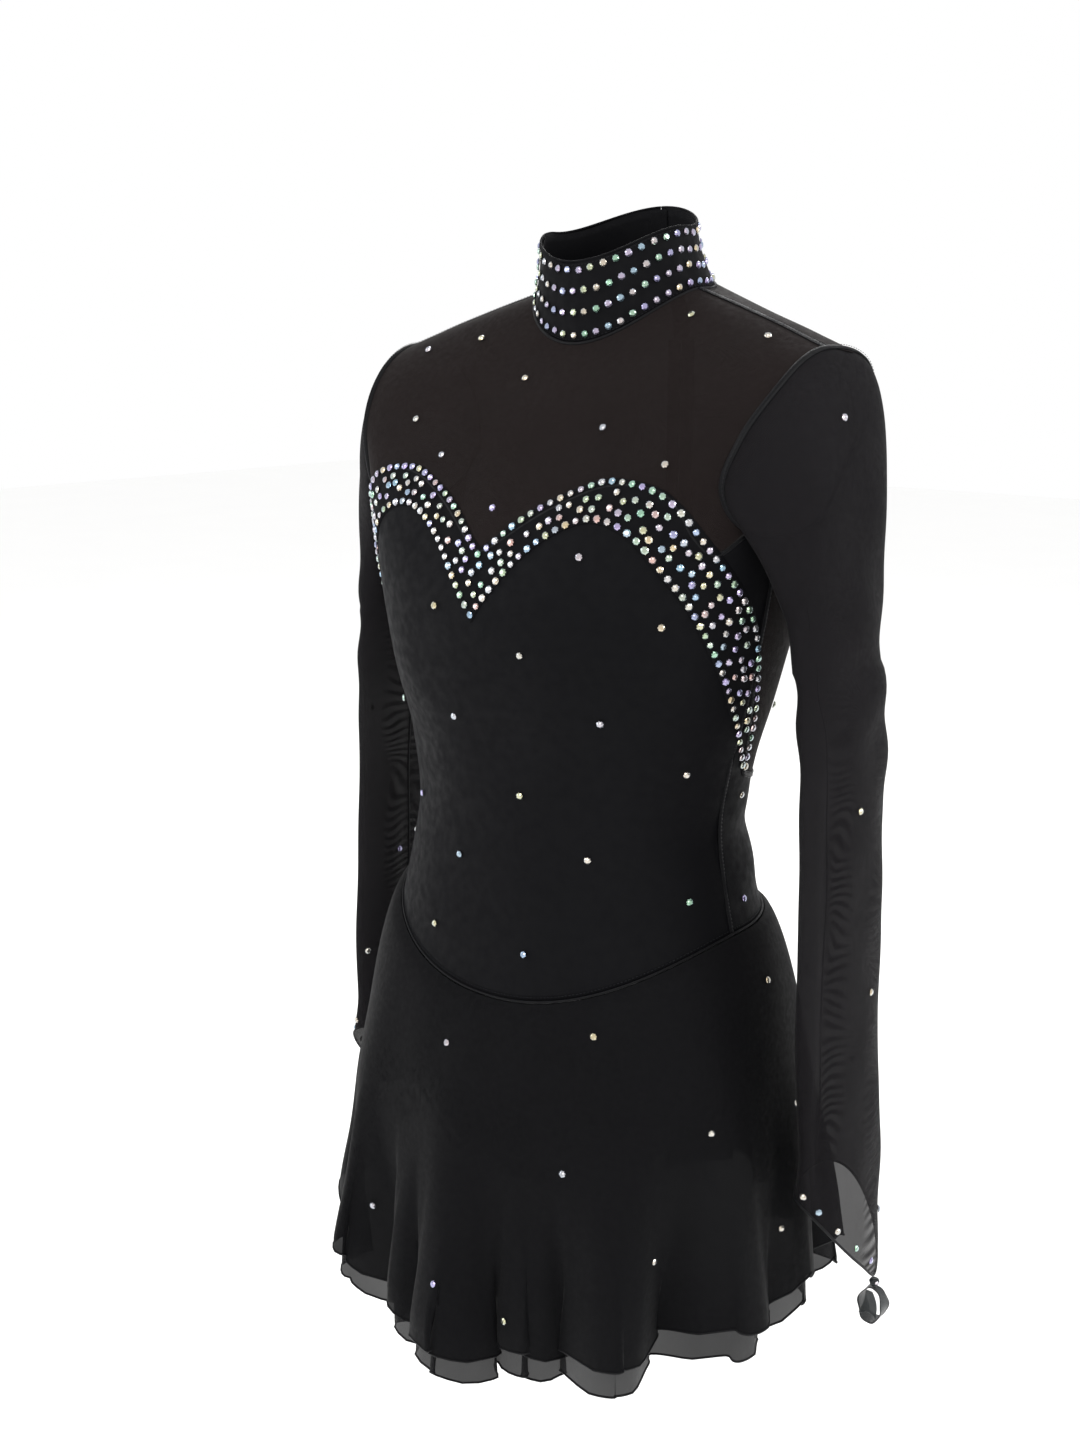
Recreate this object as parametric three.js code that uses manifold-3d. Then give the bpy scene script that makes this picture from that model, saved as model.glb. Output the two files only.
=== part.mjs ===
// Competition uniform: a long-sleeved, high-necked dress with a sweetheart bodice, a two-layer chiffon
// skirt and attached briefs, shaped as it sits when worn. Millimetres, +Z up, +X to the wearer's left,
// -Y to the front. The origin is the centre of the neck opening, level with the tops of the shoulders.
import * as THREE from 'three';
import Module from 'manifold-3d';

// ---- driving sizes, mm -------------------------------------------------------------------------
const NECK_HALF = 64;
const SHOULDER_HALF = 190;
const CHEST_HALF = 150;
const WAIST_HALF = 125;
const HIP_HALF = 150;
const NECK_FRONT = 49;
const BUST_FRONT = 152;
const WAIST_FRONT = 133;
const HIP_FRONT = 147;
const NECK_BACK = 55;
const UPPER_BACK = 77;
const WAIST_BACK = 50;
const HIP_BACK = 88;
const SHOULDER_DROP = 44;
const BUST_DROP = 210;
const WAIST_DROP = 345;
const HIP_DROP = 520;
const CROTCH_DROP = 645;

const COLLAR_TOP_HALF = 54;
const COLLAR_TOP_FRONT = 50;
const COLLAR_TOP_BACK = 46;
const COLLAR_FRONT_HEIGHT = 51;
const COLLAR_SIDE_HEIGHT = 38;
const COLLAR_BACK_HEIGHT = 43;
const COLLAR_ROWS = 4;
const STONE_ROW_WIDTH = 5;

const SKIRT_SIDE_HEM_DROP = 690;
const SKIRT_FRONT_DIP = 38;
const SKIRT_HIP_RISE = 80;
const SKIRT_SIDE_HALF = 188;
const SKIRT_FRONT_REACH = 190;
const SKIRT_BACK_REACH = 126;
const SKIRT_UNDERLAYER_SHOWS = 22;
const SKIRT_LAYER_GAP = 5;
const FLUTE_DEPTH = 13;
const FLUTES = 9;

const SLEEVE_JOIN_DROP = 230;
const SLEEVE_END_DROP = 640;
const CUFF_RISE = 65;
const CUFF_SLANT = 72;
const CUFF_POINT = 9;
const CUFF_TURN = 35;
const SLEEVE_TOP_X = Math.max(SHOULDER_HALF + 1, CHEST_HALF + 41);
const SLEEVE_CUFF_X = SLEEVE_TOP_X + 18;
const SLEEVE_Y = -22;
const SLEEVE_HALF_THICK = 18;
const SLEEVE_HALF_DEEP = 44;
const SLEEVE_JOINT_GAP = 10;

const CLOTH = 1.2;
const MESH_CLOTH = 0.9;
const CHIFFON = 0.8;
const TAPE = 0.8;
const STONE_LAYER = 1.6;
const CLEAR = 0.3;
const CURVE_CLEAR = 0.7;
const ROLLED_EDGE = 0.8;
const PIPING = 1.1;
const ELASTIC = 1.8;
const ARMHOLE_PIPING = 1.5;

const ZIP_TOP_DROP = 36;
const ZIP_LENGTH = 164;
const ZIP_CHAIN_HALF = 1.9;
const ZIP_CHAIN_THICK = 2.0;
const ZIP_TAPE_WIDTH = 11;
const ZIP_RECESS = 2.8;
const ZIP_OPENING_HALF = 4.6;
const SLIDER_HALF = 4.2;
const SLIDER_LENGTH = 9;
const SLIDER_PLATE = 1.4;
const BAIL_WIDTH = 1.6;
const BAIL_ROOM = 3.3;
const BAIL_BAR = 1.0;
const BAIL_HALF_LENGTH = 3.4;
const TAB_WIDTH = 5.4;
const TAB_LENGTH = 23;
const TAB_THICK = 1.2;

const LOOP_HALF_WIDTH = 9;
const LOOP_HALF_HEIGHT = 13;
const LOOP_RIBBON = 12;
const LOOP_THICK = 0.8;
const KNOT_RADIUS = 3.4;
const TAIL_LENGTH = 20;
const TAIL_WIDTH = 13;

// ---- small helpers -----------------------------------------------------------------------------
const rad = THREE.MathUtils.degToRad;
const mix = THREE.MathUtils.lerp;
const clamp = THREE.MathUtils.clamp;

/** A finish for one kind of cloth or trim. */
function finish(color, roughness, metalness = 0) {
  return new THREE.MeshStandardMaterial({ color, roughness, metalness });
}

const FINISHES = {
  stretch: () => finish(0x0b0b0d, 0.62),
  mesh: () => finish(0x1d1a1a, 0.8),
  chiffon: () => finish(0x202022, 0.75),
  trim: () => finish(0x0d0d10, 0.5),
  stones: () => finish(0xd8dcea, 0.12, 0.2),
  metal: () => finish(0x2c2c30, 0.35, 0.8),
  nylon: () => finish(0x111114, 0.45),
  organza: () => finish(0x5d6468, 0.4),
};

const uniform = new THREE.Group();

/** Adds one named piece to the uniform. */
function addPiece(name, geometry, kind) {
  const piece = new THREE.Mesh(geometry, FINISHES[kind]());
  piece.name = name;
  uniform.add(piece);
  return piece;
}

/** Outward normal of the surface at (u, w), from small steps along both directions. */
function normalAt(surface, u, w, wraps) {
  const step = 1e-3;
  const u0 = wraps ? u - step : Math.max(u - step, 0);
  const u1 = wraps ? u + step : Math.min(u + step, 1);
  const du = surface(u1, w).sub(surface(u0, w));
  const dw = surface(u, Math.min(w + step, 1)).sub(surface(u, Math.max(w - step, 0)));
  return du.cross(dw).normalize();
}

/**
 * A closed shell of cloth lying between two offsets from a surface. surface(u, w) runs round the
 * body with u and down it with w, so that u x w points inwards and a positive offset is outwards.
 */
function clothShell(surface, uSteps, wSteps, innerOffset, outerOffset, wraps = false) {
  const columns = wraps ? uSteps : uSteps + 1;
  const rows = wSteps + 1;
  const positions = [];
  for (const offset of [outerOffset, innerOffset]) {
    for (let j = 0; j < rows; j += 1) {
      for (let i = 0; i < columns; i += 1) {
        const u = i / uSteps;
        const w = j / wSteps;
        const normal = normalAt(surface, u, w, wraps);
        const point = surface(u, w).addScaledVector(normal, -offset);
        positions.push(point.x, point.y, point.z);
      }
    }
  }
  const layer = columns * rows;
  const at = (i, j, side) => side * layer + j * columns + (i % columns);
  const index = [];
  const quad = (a, b, c, d) => index.push(a, b, c, a, c, d);
  for (let j = 0; j < wSteps; j += 1) {
    for (let i = 0; i < uSteps; i += 1) {
      quad(at(i, j, 0), at(i, j + 1, 0), at(i + 1, j + 1, 0), at(i + 1, j, 0));
      quad(at(i, j, 1), at(i + 1, j, 1), at(i + 1, j + 1, 1), at(i, j + 1, 1));
    }
  }
  for (let i = 0; i < uSteps; i += 1) {
    quad(at(i, 0, 0), at(i + 1, 0, 0), at(i + 1, 0, 1), at(i, 0, 1));
    quad(at(i, wSteps, 0), at(i, wSteps, 1), at(i + 1, wSteps, 1), at(i + 1, wSteps, 0));
  }
  if (!wraps) {
    for (let j = 0; j < wSteps; j += 1) {
      quad(at(0, j, 0), at(0, j, 1), at(0, j + 1, 1), at(0, j + 1, 0));
      quad(at(uSteps, j, 0), at(uSteps, j + 1, 0), at(uSteps, j + 1, 1), at(uSteps, j, 1));
    }
  }
  const geometry = new THREE.BufferGeometry();
  geometry.setAttribute('position', new THREE.Float32BufferAttribute(positions, 3));
  geometry.setIndex(index);
  return geometry;
}

/** A closed cord of round section along a closed path(t), t from 0 to 1. */
function ringCord(path, steps, radius, sides = 5) {
  const positions = [];
  const step = 1e-3;
  const upward = new THREE.Vector3(0, 0, 1);
  for (let i = 0; i < steps; i += 1) {
    const t = i / steps;
    const centre = path(t);
    const along = path(t + step).sub(path(t - step)).normalize();
    const across = along.clone().cross(upward).normalize();
    const rise = across.clone().cross(along).normalize();
    for (let k = 0; k < sides; k += 1) {
      const angle = (2 * Math.PI * k) / sides;
      const point = centre.clone()
        .addScaledVector(across, radius * Math.cos(angle))
        .addScaledVector(rise, radius * Math.sin(angle));
      positions.push(point.x, point.y, point.z);
    }
  }
  const index = [];
  for (let i = 0; i < steps; i += 1) {
    const next = (i + 1) % steps;
    for (let k = 0; k < sides; k += 1) {
      const turn = (k + 1) % sides;
      const a = i * sides + k;
      const b = next * sides + k;
      const c = next * sides + turn;
      const d = i * sides + turn;
      index.push(a, b, c, a, c, d);
    }
  }
  const geometry = new THREE.BufferGeometry();
  geometry.setAttribute('position', new THREE.Float32BufferAttribute(positions, 3));
  geometry.setIndex(index);
  return geometry;
}

/** Turns a closed geometry's faces over if they point inwards. */
function facingOut(geometry) {
  const position = geometry.getAttribute('position');
  const index = geometry.getIndex();
  const [a, b, c] = [new THREE.Vector3(), new THREE.Vector3(), new THREE.Vector3()];
  let volume = 0;
  for (let i = 0; i < index.count; i += 3) {
    a.fromBufferAttribute(position, index.getX(i));
    b.fromBufferAttribute(position, index.getX(i + 1));
    c.fromBufferAttribute(position, index.getX(i + 2));
    volume += a.dot(b.cross(c));
  }
  if (volume < 0) {
    const flipped = [];
    for (let i = 0; i < index.count; i += 3) {
      flipped.push(index.getX(i), index.getX(i + 2), index.getX(i + 1));
    }
    geometry.setIndex(flipped);
  }
  return geometry;
}

// ---- the worn shape ----------------------------------------------------------------------------
const SIDE_Y_NECK = 5;
const SIDE_Y_CHEST = -33;
const SIDE_Y_WAIST = -41;

/**
 * A loop round the body: [half width, side y, front y, back y, side z, front z, back z,
 * squareness]; a squareness of 2 is an ellipse. A level loop has one height all round.
 */
function levelLoop(half, sideY, front, back, drop, squareness) {
  return [half, sideY, -front, back, -drop, -drop, -drop, squareness];
}

/** A loop of the shoulders, a share of the way out from the neck, which runs lower in front. */
function shoulderLoop(share, sideY, forward, back, frontDrop, backDrop, squareness) {
  const sideDrop = SHOULDER_DROP * share * (0.9 + 0.08 * share);
  return [mix(NECK_HALF, SHOULDER_HALF, share), sideY, -NECK_FRONT - forward, back,
    -sideDrop, -frontDrop, -backDrop, squareness];
}

/** How far down from the bust to the waist the back stays upright, so that the zip lies straight. */
const UPRIGHT_SHARE = Math.max(0, (ZIP_TOP_DROP + ZIP_LENGTH + 10 - BUST_DROP) / (WAIST_DROP - BUST_DROP));

/** A level loop between the bust and the waist, by its shares of the way for each size. */
function waistLoop(wide, front, back, down, sideY, squareness) {
  const backShare = back * clamp(1 - UPRIGHT_SHARE / down, 0, 1) ** 1.5;
  return levelLoop(mix(CHEST_HALF, WAIST_HALF, wide), sideY, mix(BUST_FRONT, WAIST_FRONT, front),
    mix(UPPER_BACK, WAIST_BACK, backShare), mix(BUST_DROP, WAIST_DROP, down), squareness);
}

/** A level loop between the waist and the hips. */
function hipLoop(wide, front, back, down) {
  return levelLoop(mix(WAIST_HALF, HIP_HALF, wide), SIDE_Y_WAIST, mix(WAIST_FRONT, HIP_FRONT, front),
    mix(WAIST_BACK, HIP_BACK, back), mix(WAIST_DROP, HIP_DROP, down), 2.1);
}

/** A level loop below the hips, drawn in from the hip size at each side, in front and behind. */
function seatLoop(sideIn, frontIn, backIn, down, squareness) {
  return levelLoop(HIP_HALF - sideIn, SIDE_Y_WAIST, HIP_FRONT - frontIn, HIP_BACK - backIn,
    mix(HIP_DROP, CROTCH_DROP, down), squareness);
}

/** Loops round the body from the neck down. */
const BODY_LOOPS = [
  [NECK_HALF, SIDE_Y_NECK, -NECK_FRONT, NECK_BACK, 0, -35, 12, 2.0],
  shoulderLoop(0.33, -2, 17, UPPER_BACK - 3, 52, 12, 2.1),
  shoulderLoop(0.67, -8, 39, UPPER_BACK, 78, 40, 2.2),
  [SHOULDER_HALF - 6, -12, -NECK_FRONT - 57, UPPER_BACK, -SHOULDER_DROP, -103, -75, 2.4],
  [SHOULDER_HALF, -14, 30 - BUST_FRONT, UPPER_BACK, -SHOULDER_DROP - 22, -124, -105, 2.5],
  [mix(SHOULDER_HALF, CHEST_HALF, 0.45), -18, 14 - BUST_FRONT, UPPER_BACK, -108, -150, -138, 2.5],
  [CHEST_HALF + 6, -25, 3 - BUST_FRONT, UPPER_BACK, 50 - BUST_DROP, 30 - BUST_DROP, 35 - BUST_DROP, 2.4],
  levelLoop(CHEST_HALF, SIDE_Y_CHEST, BUST_FRONT, UPPER_BACK - 1, BUST_DROP, 2.25),
  waistLoop(0.36, 0.42, 0.45, 0.37, -38, 2.15),
  waistLoop(0.8, 0.84, 0.85, 0.7, -40, 2.1),
  waistLoop(1, 1, 1, 1, SIDE_Y_WAIST, 2.1),
  hipLoop(0.28, 0.28, 0.18, 0.26),
  hipLoop(0.67, 0.7, 0.48, 0.49),
  hipLoop(0.92, 0.93, 0.78, 0.74),
  hipLoop(1, 1, 1, 1),
  seatLoop(6, 7, 2, 0.32, 2.1),
  seatLoop(24, 22, 14, 0.64, 2.1),
  seatLoop(66, 60, 46, 0.94, 2.0),
];

/** One smooth loop at level v, counted in loops down from the neck. */
function loopAt(v) {
  const last = BODY_LOOPS.length - 1;
  const level = clamp(v, 0, last);
  const k = Math.min(Math.floor(level), last - 1);
  const t = level - k;
  const rows = [k - 1, k, k + 1, k + 2].map((row) => BODY_LOOPS[clamp(row, 0, last)]);
  return rows[0].map((_, c) => {
    const [a, b, d, e] = rows.map((row) => row[c]);
    return 0.5 * (2 * b + (d - a) * t + (2 * a - 5 * b + 4 * d - e) * t * t
      + (3 * b - a - 3 * d + e) * t ** 3);
  });
}

/** The point of a loop at angle phi: 0 is the centre front, 90 the wearer's left side, 180 the back. */
function loopPoint(loop, phi) {
  const [half, sideY, frontY, backY, sideZ, frontZ, backZ, squareness] = loop;
  const s = Math.sin(rad(phi));
  const c = Math.cos(rad(phi));
  const power = 2 / squareness;
  const x = half * Math.sign(s) * Math.abs(s) ** power;
  const reach = c > 0 ? frontY - sideY : backY - sideY;
  const rise = c > 0 ? frontZ - sideZ : backZ - sideZ;
  return new THREE.Vector3(x, sideY + reach * Math.abs(c) ** power, sideZ + rise * c * c);
}

/** The point of the worn surface at angle phi and level v. */
function bodyPoint(phi, v) {
  return loopPoint(loopAt(v), phi);
}

// ---- seam lines, as levels v at an angle phi ---------------------------------------------------
const CENTRE_BACK = 180;
const SEAM_PHI = 85;
const SEAM_GAP = 0.15;
const LEVEL_GAP = 0.012;
const ARMHOLE_LEVEL = 4.2;
const ARMHOLE_HALF_LEVEL = 1.6;
const ARMHOLE_SEAM_ROOM = 1.17;
const ARMHOLE_FRONT = 34;
const ARMHOLE_BACK = 36;
const BACK_LINE = 9.1;
const BACK_LINE_PHI = 97;
const HEM_TURN = 20;
const RISE_TURN = 85;

/** A smooth line through a few [phi, value] corners. */
function lineThrough(corners, phi) {
  const x = Math.abs(phi);
  let k = 0;
  while (k < corners.length - 2 && x > corners[k + 1][0]) {
    k += 1;
  }
  const t = clamp((x - corners[k][0]) / (corners[k + 1][0] - corners[k][0]), 0, 1);
  const before = corners[Math.max(k - 1, 0)];
  const after = corners[Math.min(k + 2, corners.length - 1)];
  const slope = (p, q) => (q[1] - p[1]) / (q[0] - p[0] || 1);
  const span = corners[k + 1][0] - corners[k][0];
  const m0 = (k === 0 ? slope(corners[k], corners[k + 1]) : slope(before, corners[k + 1])) * span;
  const m1 = slope(corners[k], after) * span;
  const t2 = t * t;
  const t3 = t2 * t;
  return (2 * t3 - 3 * t2 + 1) * corners[k][1] + (t3 - 2 * t2 + t) * m0
    + (3 * t2 - 2 * t3) * corners[k + 1][1] + (t3 - t2) * m1;
}

const YOKE_END_PHI = 70;
const SWEETHEART = [[0, 5.45], [10, 4.45], [20, 4.05], [35, 4.5], [44, 5.0], [52, 5.5], [62, 5.92],
  [YOKE_END_PHI, 6.0]];
const BAND_TOP = [[0, 5.45], [10, 4.45], [20, 4.05], [35, 4.5], [44, 5.0], [52, 5.5],
  [62, 6.0], [70, 6.5], [85, 7.5]];
const BAND_DEPTH = [[0, 1.35], [10, 0.85], [22, 0.85], [38, 0.95], [60, 0.85], [75, 0.85], [85, 0.7]];
const BACK_TOP = [[85, 7.5], [BACK_LINE_PHI, BACK_LINE], [CENTRE_BACK, BACK_LINE]];

/** The top edge of the opaque bodice: the sweetheart and the underarm in front, a low line behind. */
function bodiceTop(phi) {
  const turn = Math.abs(phi);
  if (turn > SEAM_PHI) {
    return lineThrough(BACK_TOP, turn);
  }
  if (turn <= YOKE_END_PHI) {
    return lineThrough(SWEETHEART, turn);
  }
  const across = (SEAM_PHI - turn) / (ARMHOLE_FRONT * ARMHOLE_SEAM_ROOM);
  const underarm = ARMHOLE_LEVEL + ARMHOLE_SEAM_ROOM * ARMHOLE_HALF_LEVEL * Math.sqrt(1 - across * across);
  const meeting = lineThrough(SWEETHEART, YOKE_END_PHI);
  return mix(meeting, underarm, clamp((turn - YOKE_END_PHI) / 2, 0, 1));
}

/** The waist seam, which dips at the front. */
function waistSeam(phi) {
  const frontness = Math.max(Math.cos(rad(phi)), 0);
  return 11.55 + 1.15 * frontness * frontness;
}

/** The armhole edge for t from 0, the shoulder, to 1, the underarm; side is 'front' or 'back'. */
function armholeEdge(side, t, room = 1) {
  const reach = room * (side === 'front' ? -ARMHOLE_FRONT : ARMHOLE_BACK);
  const drop = room * ARMHOLE_HALF_LEVEL;
  return [SEAM_PHI + reach * Math.sin(Math.PI * t), ARMHOLE_LEVEL - drop * Math.cos(Math.PI * t)];
}

/** The side edge of the front yoke: the shoulder seam, then the armhole down to the sweetheart. */
function frontYokeEdge(w) {
  const shoulderShare = 0.25;
  const room = ARMHOLE_SEAM_ROOM;
  if (w < shoulderShare) {
    return [SEAM_PHI, mix(0, ARMHOLE_LEVEL - room * ARMHOLE_HALF_LEVEL, w / shoulderShare)];
  }
  const reach = (SEAM_PHI - YOKE_END_PHI) / (ARMHOLE_FRONT * room);
  const lastTurn = 1 - Math.asin(reach) / Math.PI;
  return armholeEdge('front', ((w - shoulderShare) / (1 - shoulderShare)) * lastTurn, room);
}

/** The side edge of a back yoke: the shoulder seam, the armhole, then the side seam. */
function backYokeEdge(w) {
  const shoulderShare = 0.25;
  const armShare = 0.5;
  const room = ARMHOLE_SEAM_ROOM * ARMHOLE_HALF_LEVEL;
  if (w < shoulderShare) {
    return [SEAM_PHI, mix(0, ARMHOLE_LEVEL - room, w / shoulderShare)];
  }
  if (w < shoulderShare + armShare) {
    return armholeEdge('back', (w - shoulderShare) / armShare, ARMHOLE_SEAM_ROOM);
  }
  const seamShare = 1 - shoulderShare - armShare;
  return [SEAM_PHI, mix(ARMHOLE_LEVEL + room, BACK_TOP[0][1], (w - shoulderShare - armShare) / seamShare)];
}

/**
 * The (phi, v) of an upper panel at (u, w): u runs from the centre line at phi = centre to the side
 * edge, and w from the neck to the panel's lower line.
 */
function upperPanel(edgeLine, bottomLine, centre, u, w) {
  const [edgePhi, edgeLevel] = edgeLine(w);
  const phi = mix(centre, edgePhi, u);
  const v = w * bottomLine(phi) + (edgeLevel - w * bottomLine(edgePhi)) * u ** 3;
  return [phi, v];
}

// ---- bodice and yoke ---------------------------------------------------------------------------
const HALF_CLOTH = CLOTH / 2;
const HALF_MESH = MESH_CLOTH / 2;
const FRONT_COLUMNS = 30;
const FRONT_ROWS = 12;
const BACK_ROWS = 10;
const BAND_ROWS = 6;
const SIDE_SEAM_STEPS = 12;
const YOKE_COLUMNS = 24;
const BACK_COLUMNS = 10;
const YOKE_ROWS = 12;
const EDGE_SHARE = 0.997;
const ROW_SHARE = 0.0025;

/** Keeps (u, w) a hair inside a panel so that panels that meet keep a gap. */
function inset(t, amount) {
  return mix(amount, 1 - amount, t);
}

function addFrontYoke() {
  const surface = (u, w) => {
    const across = Math.abs(2 * u - 1);
    const [phi, v] = upperPanel(frontYokeEdge, bodiceTop, 0, across * EDGE_SHARE, inset(w, ROW_SHARE));
    return bodyPoint(phi * Math.sign(2 * u - 1), v);
  };
  addPiece('front_yoke', clothShell(surface, YOKE_COLUMNS, YOKE_ROWS, -HALF_MESH, HALF_MESH), 'mesh');
}

/** The angle across the front at u, with a column of the bodice at each column of the yoke's edge. */
function frontPhi(u) {
  const across = Math.abs(2 * u - 1);
  const yokeShare = YOKE_COLUMNS / FRONT_COLUMNS;
  const outer = (across - yokeShare) / (1 - yokeShare);
  const phi = outer > 0 ? mix(YOKE_END_PHI, SEAM_PHI - SEAM_GAP, outer) : (YOKE_END_PHI * across) / yokeShare;
  return Math.sign(2 * u - 1) * phi;
}

function addFrontBodice() {
  const surface = (u, w) => {
    const phi = frontPhi(u);
    const v = mix(bodiceTop(phi) + LEVEL_GAP, waistSeam(phi) - LEVEL_GAP, w);
    return bodyPoint(phi, v);
  };
  const shell = clothShell(surface, FRONT_COLUMNS, FRONT_ROWS, -HALF_CLOTH, HALF_CLOTH);
  addPiece('front_bodice', shell, 'stretch');
}

const BACK_EDGE_GAP = 0.8;

/** The angle of a straight edge that runs down the back at a fixed distance from the centre line. */
function backEdgePhi(v, halfWidth) {
  const [half, , , , , , , squareness] = loopAt(v);
  return CENTRE_BACK - THREE.MathUtils.radToDeg(Math.asin((halfWidth / half) ** (squareness / 2)));
}

/** Half the gap between the two back panels at level v: wide along the zip, closed above and below. */
function backOpening(v) {
  const drop = -loopAt(v)[6];
  const belowTop = clamp((drop - ZIP_TOP_DROP + 6) / 5, 0, 1);
  const aboveEnd = clamp((ZIP_BOTTOM_DROP + 12 - drop) / 6, 0, 1);
  return mix(BACK_EDGE_GAP, ZIP_OPENING_HALF, belowTop * aboveEnd);
}

function addBackYoke(sideName, mirror) {
  const surface = (u, w) => {
    const across = mirror > 0 ? 1 - u : u;
    const backTop = (angle) => lineThrough(BACK_TOP, angle);
    const [phi, v] = upperPanel(backYokeEdge, backTop, CENTRE_BACK, across * EDGE_SHARE, inset(w, ROW_SHARE));
    const edge = backEdgePhi(v, backOpening(v));
    const kept = phi - (CENTRE_BACK - edge) * (1 - across);
    return bodyPoint(mirror * kept, v);
  };
  const shell = clothShell(surface, BACK_COLUMNS, 2 * YOKE_ROWS, -HALF_MESH, HALF_MESH);
  addPiece(`${sideName}_back_yoke`, shell, 'mesh');
}

function addBackBodice(sideName, mirror) {
  const surface = (u, w) => {
    const across = mirror > 0 ? 1 - u : u;
    const wide = mix(CENTRE_BACK - SEAM_GAP, SEAM_PHI + SEAM_GAP, across);
    const v = mix(bodiceTop(wide) + 3 * LEVEL_GAP, waistSeam(wide) - LEVEL_GAP, w);
    return bodyPoint(mirror * wide, v);
  };
  const shell = clothShell(surface, BACK_COLUMNS, BACK_ROWS, -HALF_CLOTH, HALF_CLOTH);
  addPiece(`${sideName}_back_bodice`, shell, 'stretch');
}

// ---- collar ------------------------------------------------------------------------------------
const COLLAR_OPEN_PHI = 1.5;
const COLLAR_COLUMNS = 30;

/** A loop of the collar, from its base at w = 0 to its top edge at w = 1. */
function collarLoop(w) {
  const base = loopAt(0);
  const top = [COLLAR_TOP_HALF, SIDE_Y_NECK - 8, -COLLAR_TOP_FRONT, COLLAR_TOP_BACK,
    COLLAR_SIDE_HEIGHT, base[5] + COLLAR_FRONT_HEIGHT, base[6] + COLLAR_BACK_HEIGHT, 2];
  const ease = Math.sin((Math.PI / 2) * w);
  const widths = 4;
  return base.map((value, c) => (c < widths ? mix(value, top[c], ease) : mix(value, top[c], w)));
}

/** A strip of the collar between two heights, open at the centre back. */
function collarStrip(low, high, innerOffset, outerOffset, rows = 1) {
  const surface = (u, w) => {
    const phi = mix(-CENTRE_BACK + COLLAR_OPEN_PHI, CENTRE_BACK - COLLAR_OPEN_PHI, u);
    return loopPoint(collarLoop(mix(high, low, w)), phi);
  };
  return clothShell(surface, COLLAR_COLUMNS, rows, innerOffset, outerOffset);
}

function addCollar() {
  const base = 0.03;
  addPiece('collar_band', collarStrip(base, 1, -HALF_CLOTH, HALF_CLOTH, 4), 'stretch');
  const lining = -HALF_CLOTH - CURVE_CLEAR;
  addPiece('collar_lining', collarStrip(base, 0.97, lining - TAPE, lining, 4), 'mesh');
  const rowHeight = STONE_ROW_WIDTH / COLLAR_FRONT_HEIGHT;
  for (let row = 0; row < COLLAR_ROWS; row += 1) {
    const middle = mix(0.1, 0.9, row / (COLLAR_ROWS - 1));
    const under = HALF_CLOTH + CURVE_CLEAR;
    const strip = collarStrip(middle - rowHeight / 2, middle + rowHeight / 2, under, under + STONE_LAYER);
    addPiece(`collar_stone_row_${row + 1}`, strip, 'stones');
  }
}

/** The hook and the eye that close the collar at the back, inside its two edges. */
function addCollarCatch(wasm) {
  const loop = collarLoop(0.5);
  const y = loop[3] - HALF_CLOTH - CURVE_CLEAR - TAPE - 2 * CLEAR - 0.6;
  const z = loop[6];
  const hook = unionOfBoxes(wasm, [
    [[0.6, y - 1.2, z - 3], [8, y - 0.6, z + 3]],
    [[-3.4, y - 1.2, z - 0.9], [0.7, y - 0.6, z + 0.9]],
    [[-3.4, y - 2.8, z - 0.9], [-2.8, y - 0.7, z + 0.9]],
    [[-3.4, y - 2.8, z - 0.9], [-0.4, y - 2.2, z + 0.9]],
  ]);
  addPiece('collar_hook', hook, 'metal');
  const eye = new THREE.Shape();
  eye.absellipse(0, 0, 3.2, 3.4, 0, 2 * Math.PI, false, 0);
  const eyeHole = new THREE.Path();
  eyeHole.absellipse(0, 0, 2.4, 2.6, 0, 2 * Math.PI, true, 0);
  eye.holes.push(eyeHole);
  const ring = new THREE.ExtrudeGeometry(eye, { depth: 0.5, bevelEnabled: false, curveSegments: 10 });
  ring.rotateX(Math.PI / 2);
  ring.translate(-4.6, y - 1.45, z);
  addPiece('collar_eye', ring, 'metal');
}

// ---- stone band --------------------------------------------------------------------------------
function addSweetheartBand() {
  const band = (inner, outer, topShare, bottomShare) => {
    const surface = (u, w) => {
      const phi = frontPhi(u);
      const top = lineThrough(BAND_TOP, phi) + LEVEL_GAP;
      const depth = lineThrough(BAND_DEPTH, phi);
      return bodyPoint(phi, mix(top + depth * topShare, top + depth * bottomShare, w));
    };
    return clothShell(surface, FRONT_COLUMNS, BAND_ROWS, inner, outer);
  };
  const backing = HALF_CLOTH + CURVE_CLEAR + 3 * CLEAR;
  addPiece('sweetheart_band', band(backing, backing + TAPE, 0.0, 1.0), 'stretch');
  const stones = backing + TAPE + 2 * CLEAR;
  addPiece('sweetheart_stones', band(stones, stones + STONE_LAYER, 0.06, 0.94), 'stones');
}

// ---- seams -------------------------------------------------------------------------------------
function seamTape(phiAt, vFrom, vTo, halfWidth, steps) {
  const surface = (u, w) => {
    const v = mix(vFrom, vTo, w);
    const half = THREE.MathUtils.radToDeg(halfWidth / loopAt(v)[0]);
    return bodyPoint(mix(phiAt - half, phiAt + half, u), v);
  };
  const under = HALF_CLOTH + CURVE_CLEAR + CLEAR;
  return clothShell(surface, 2, steps, under, under + TAPE);
}

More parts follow.
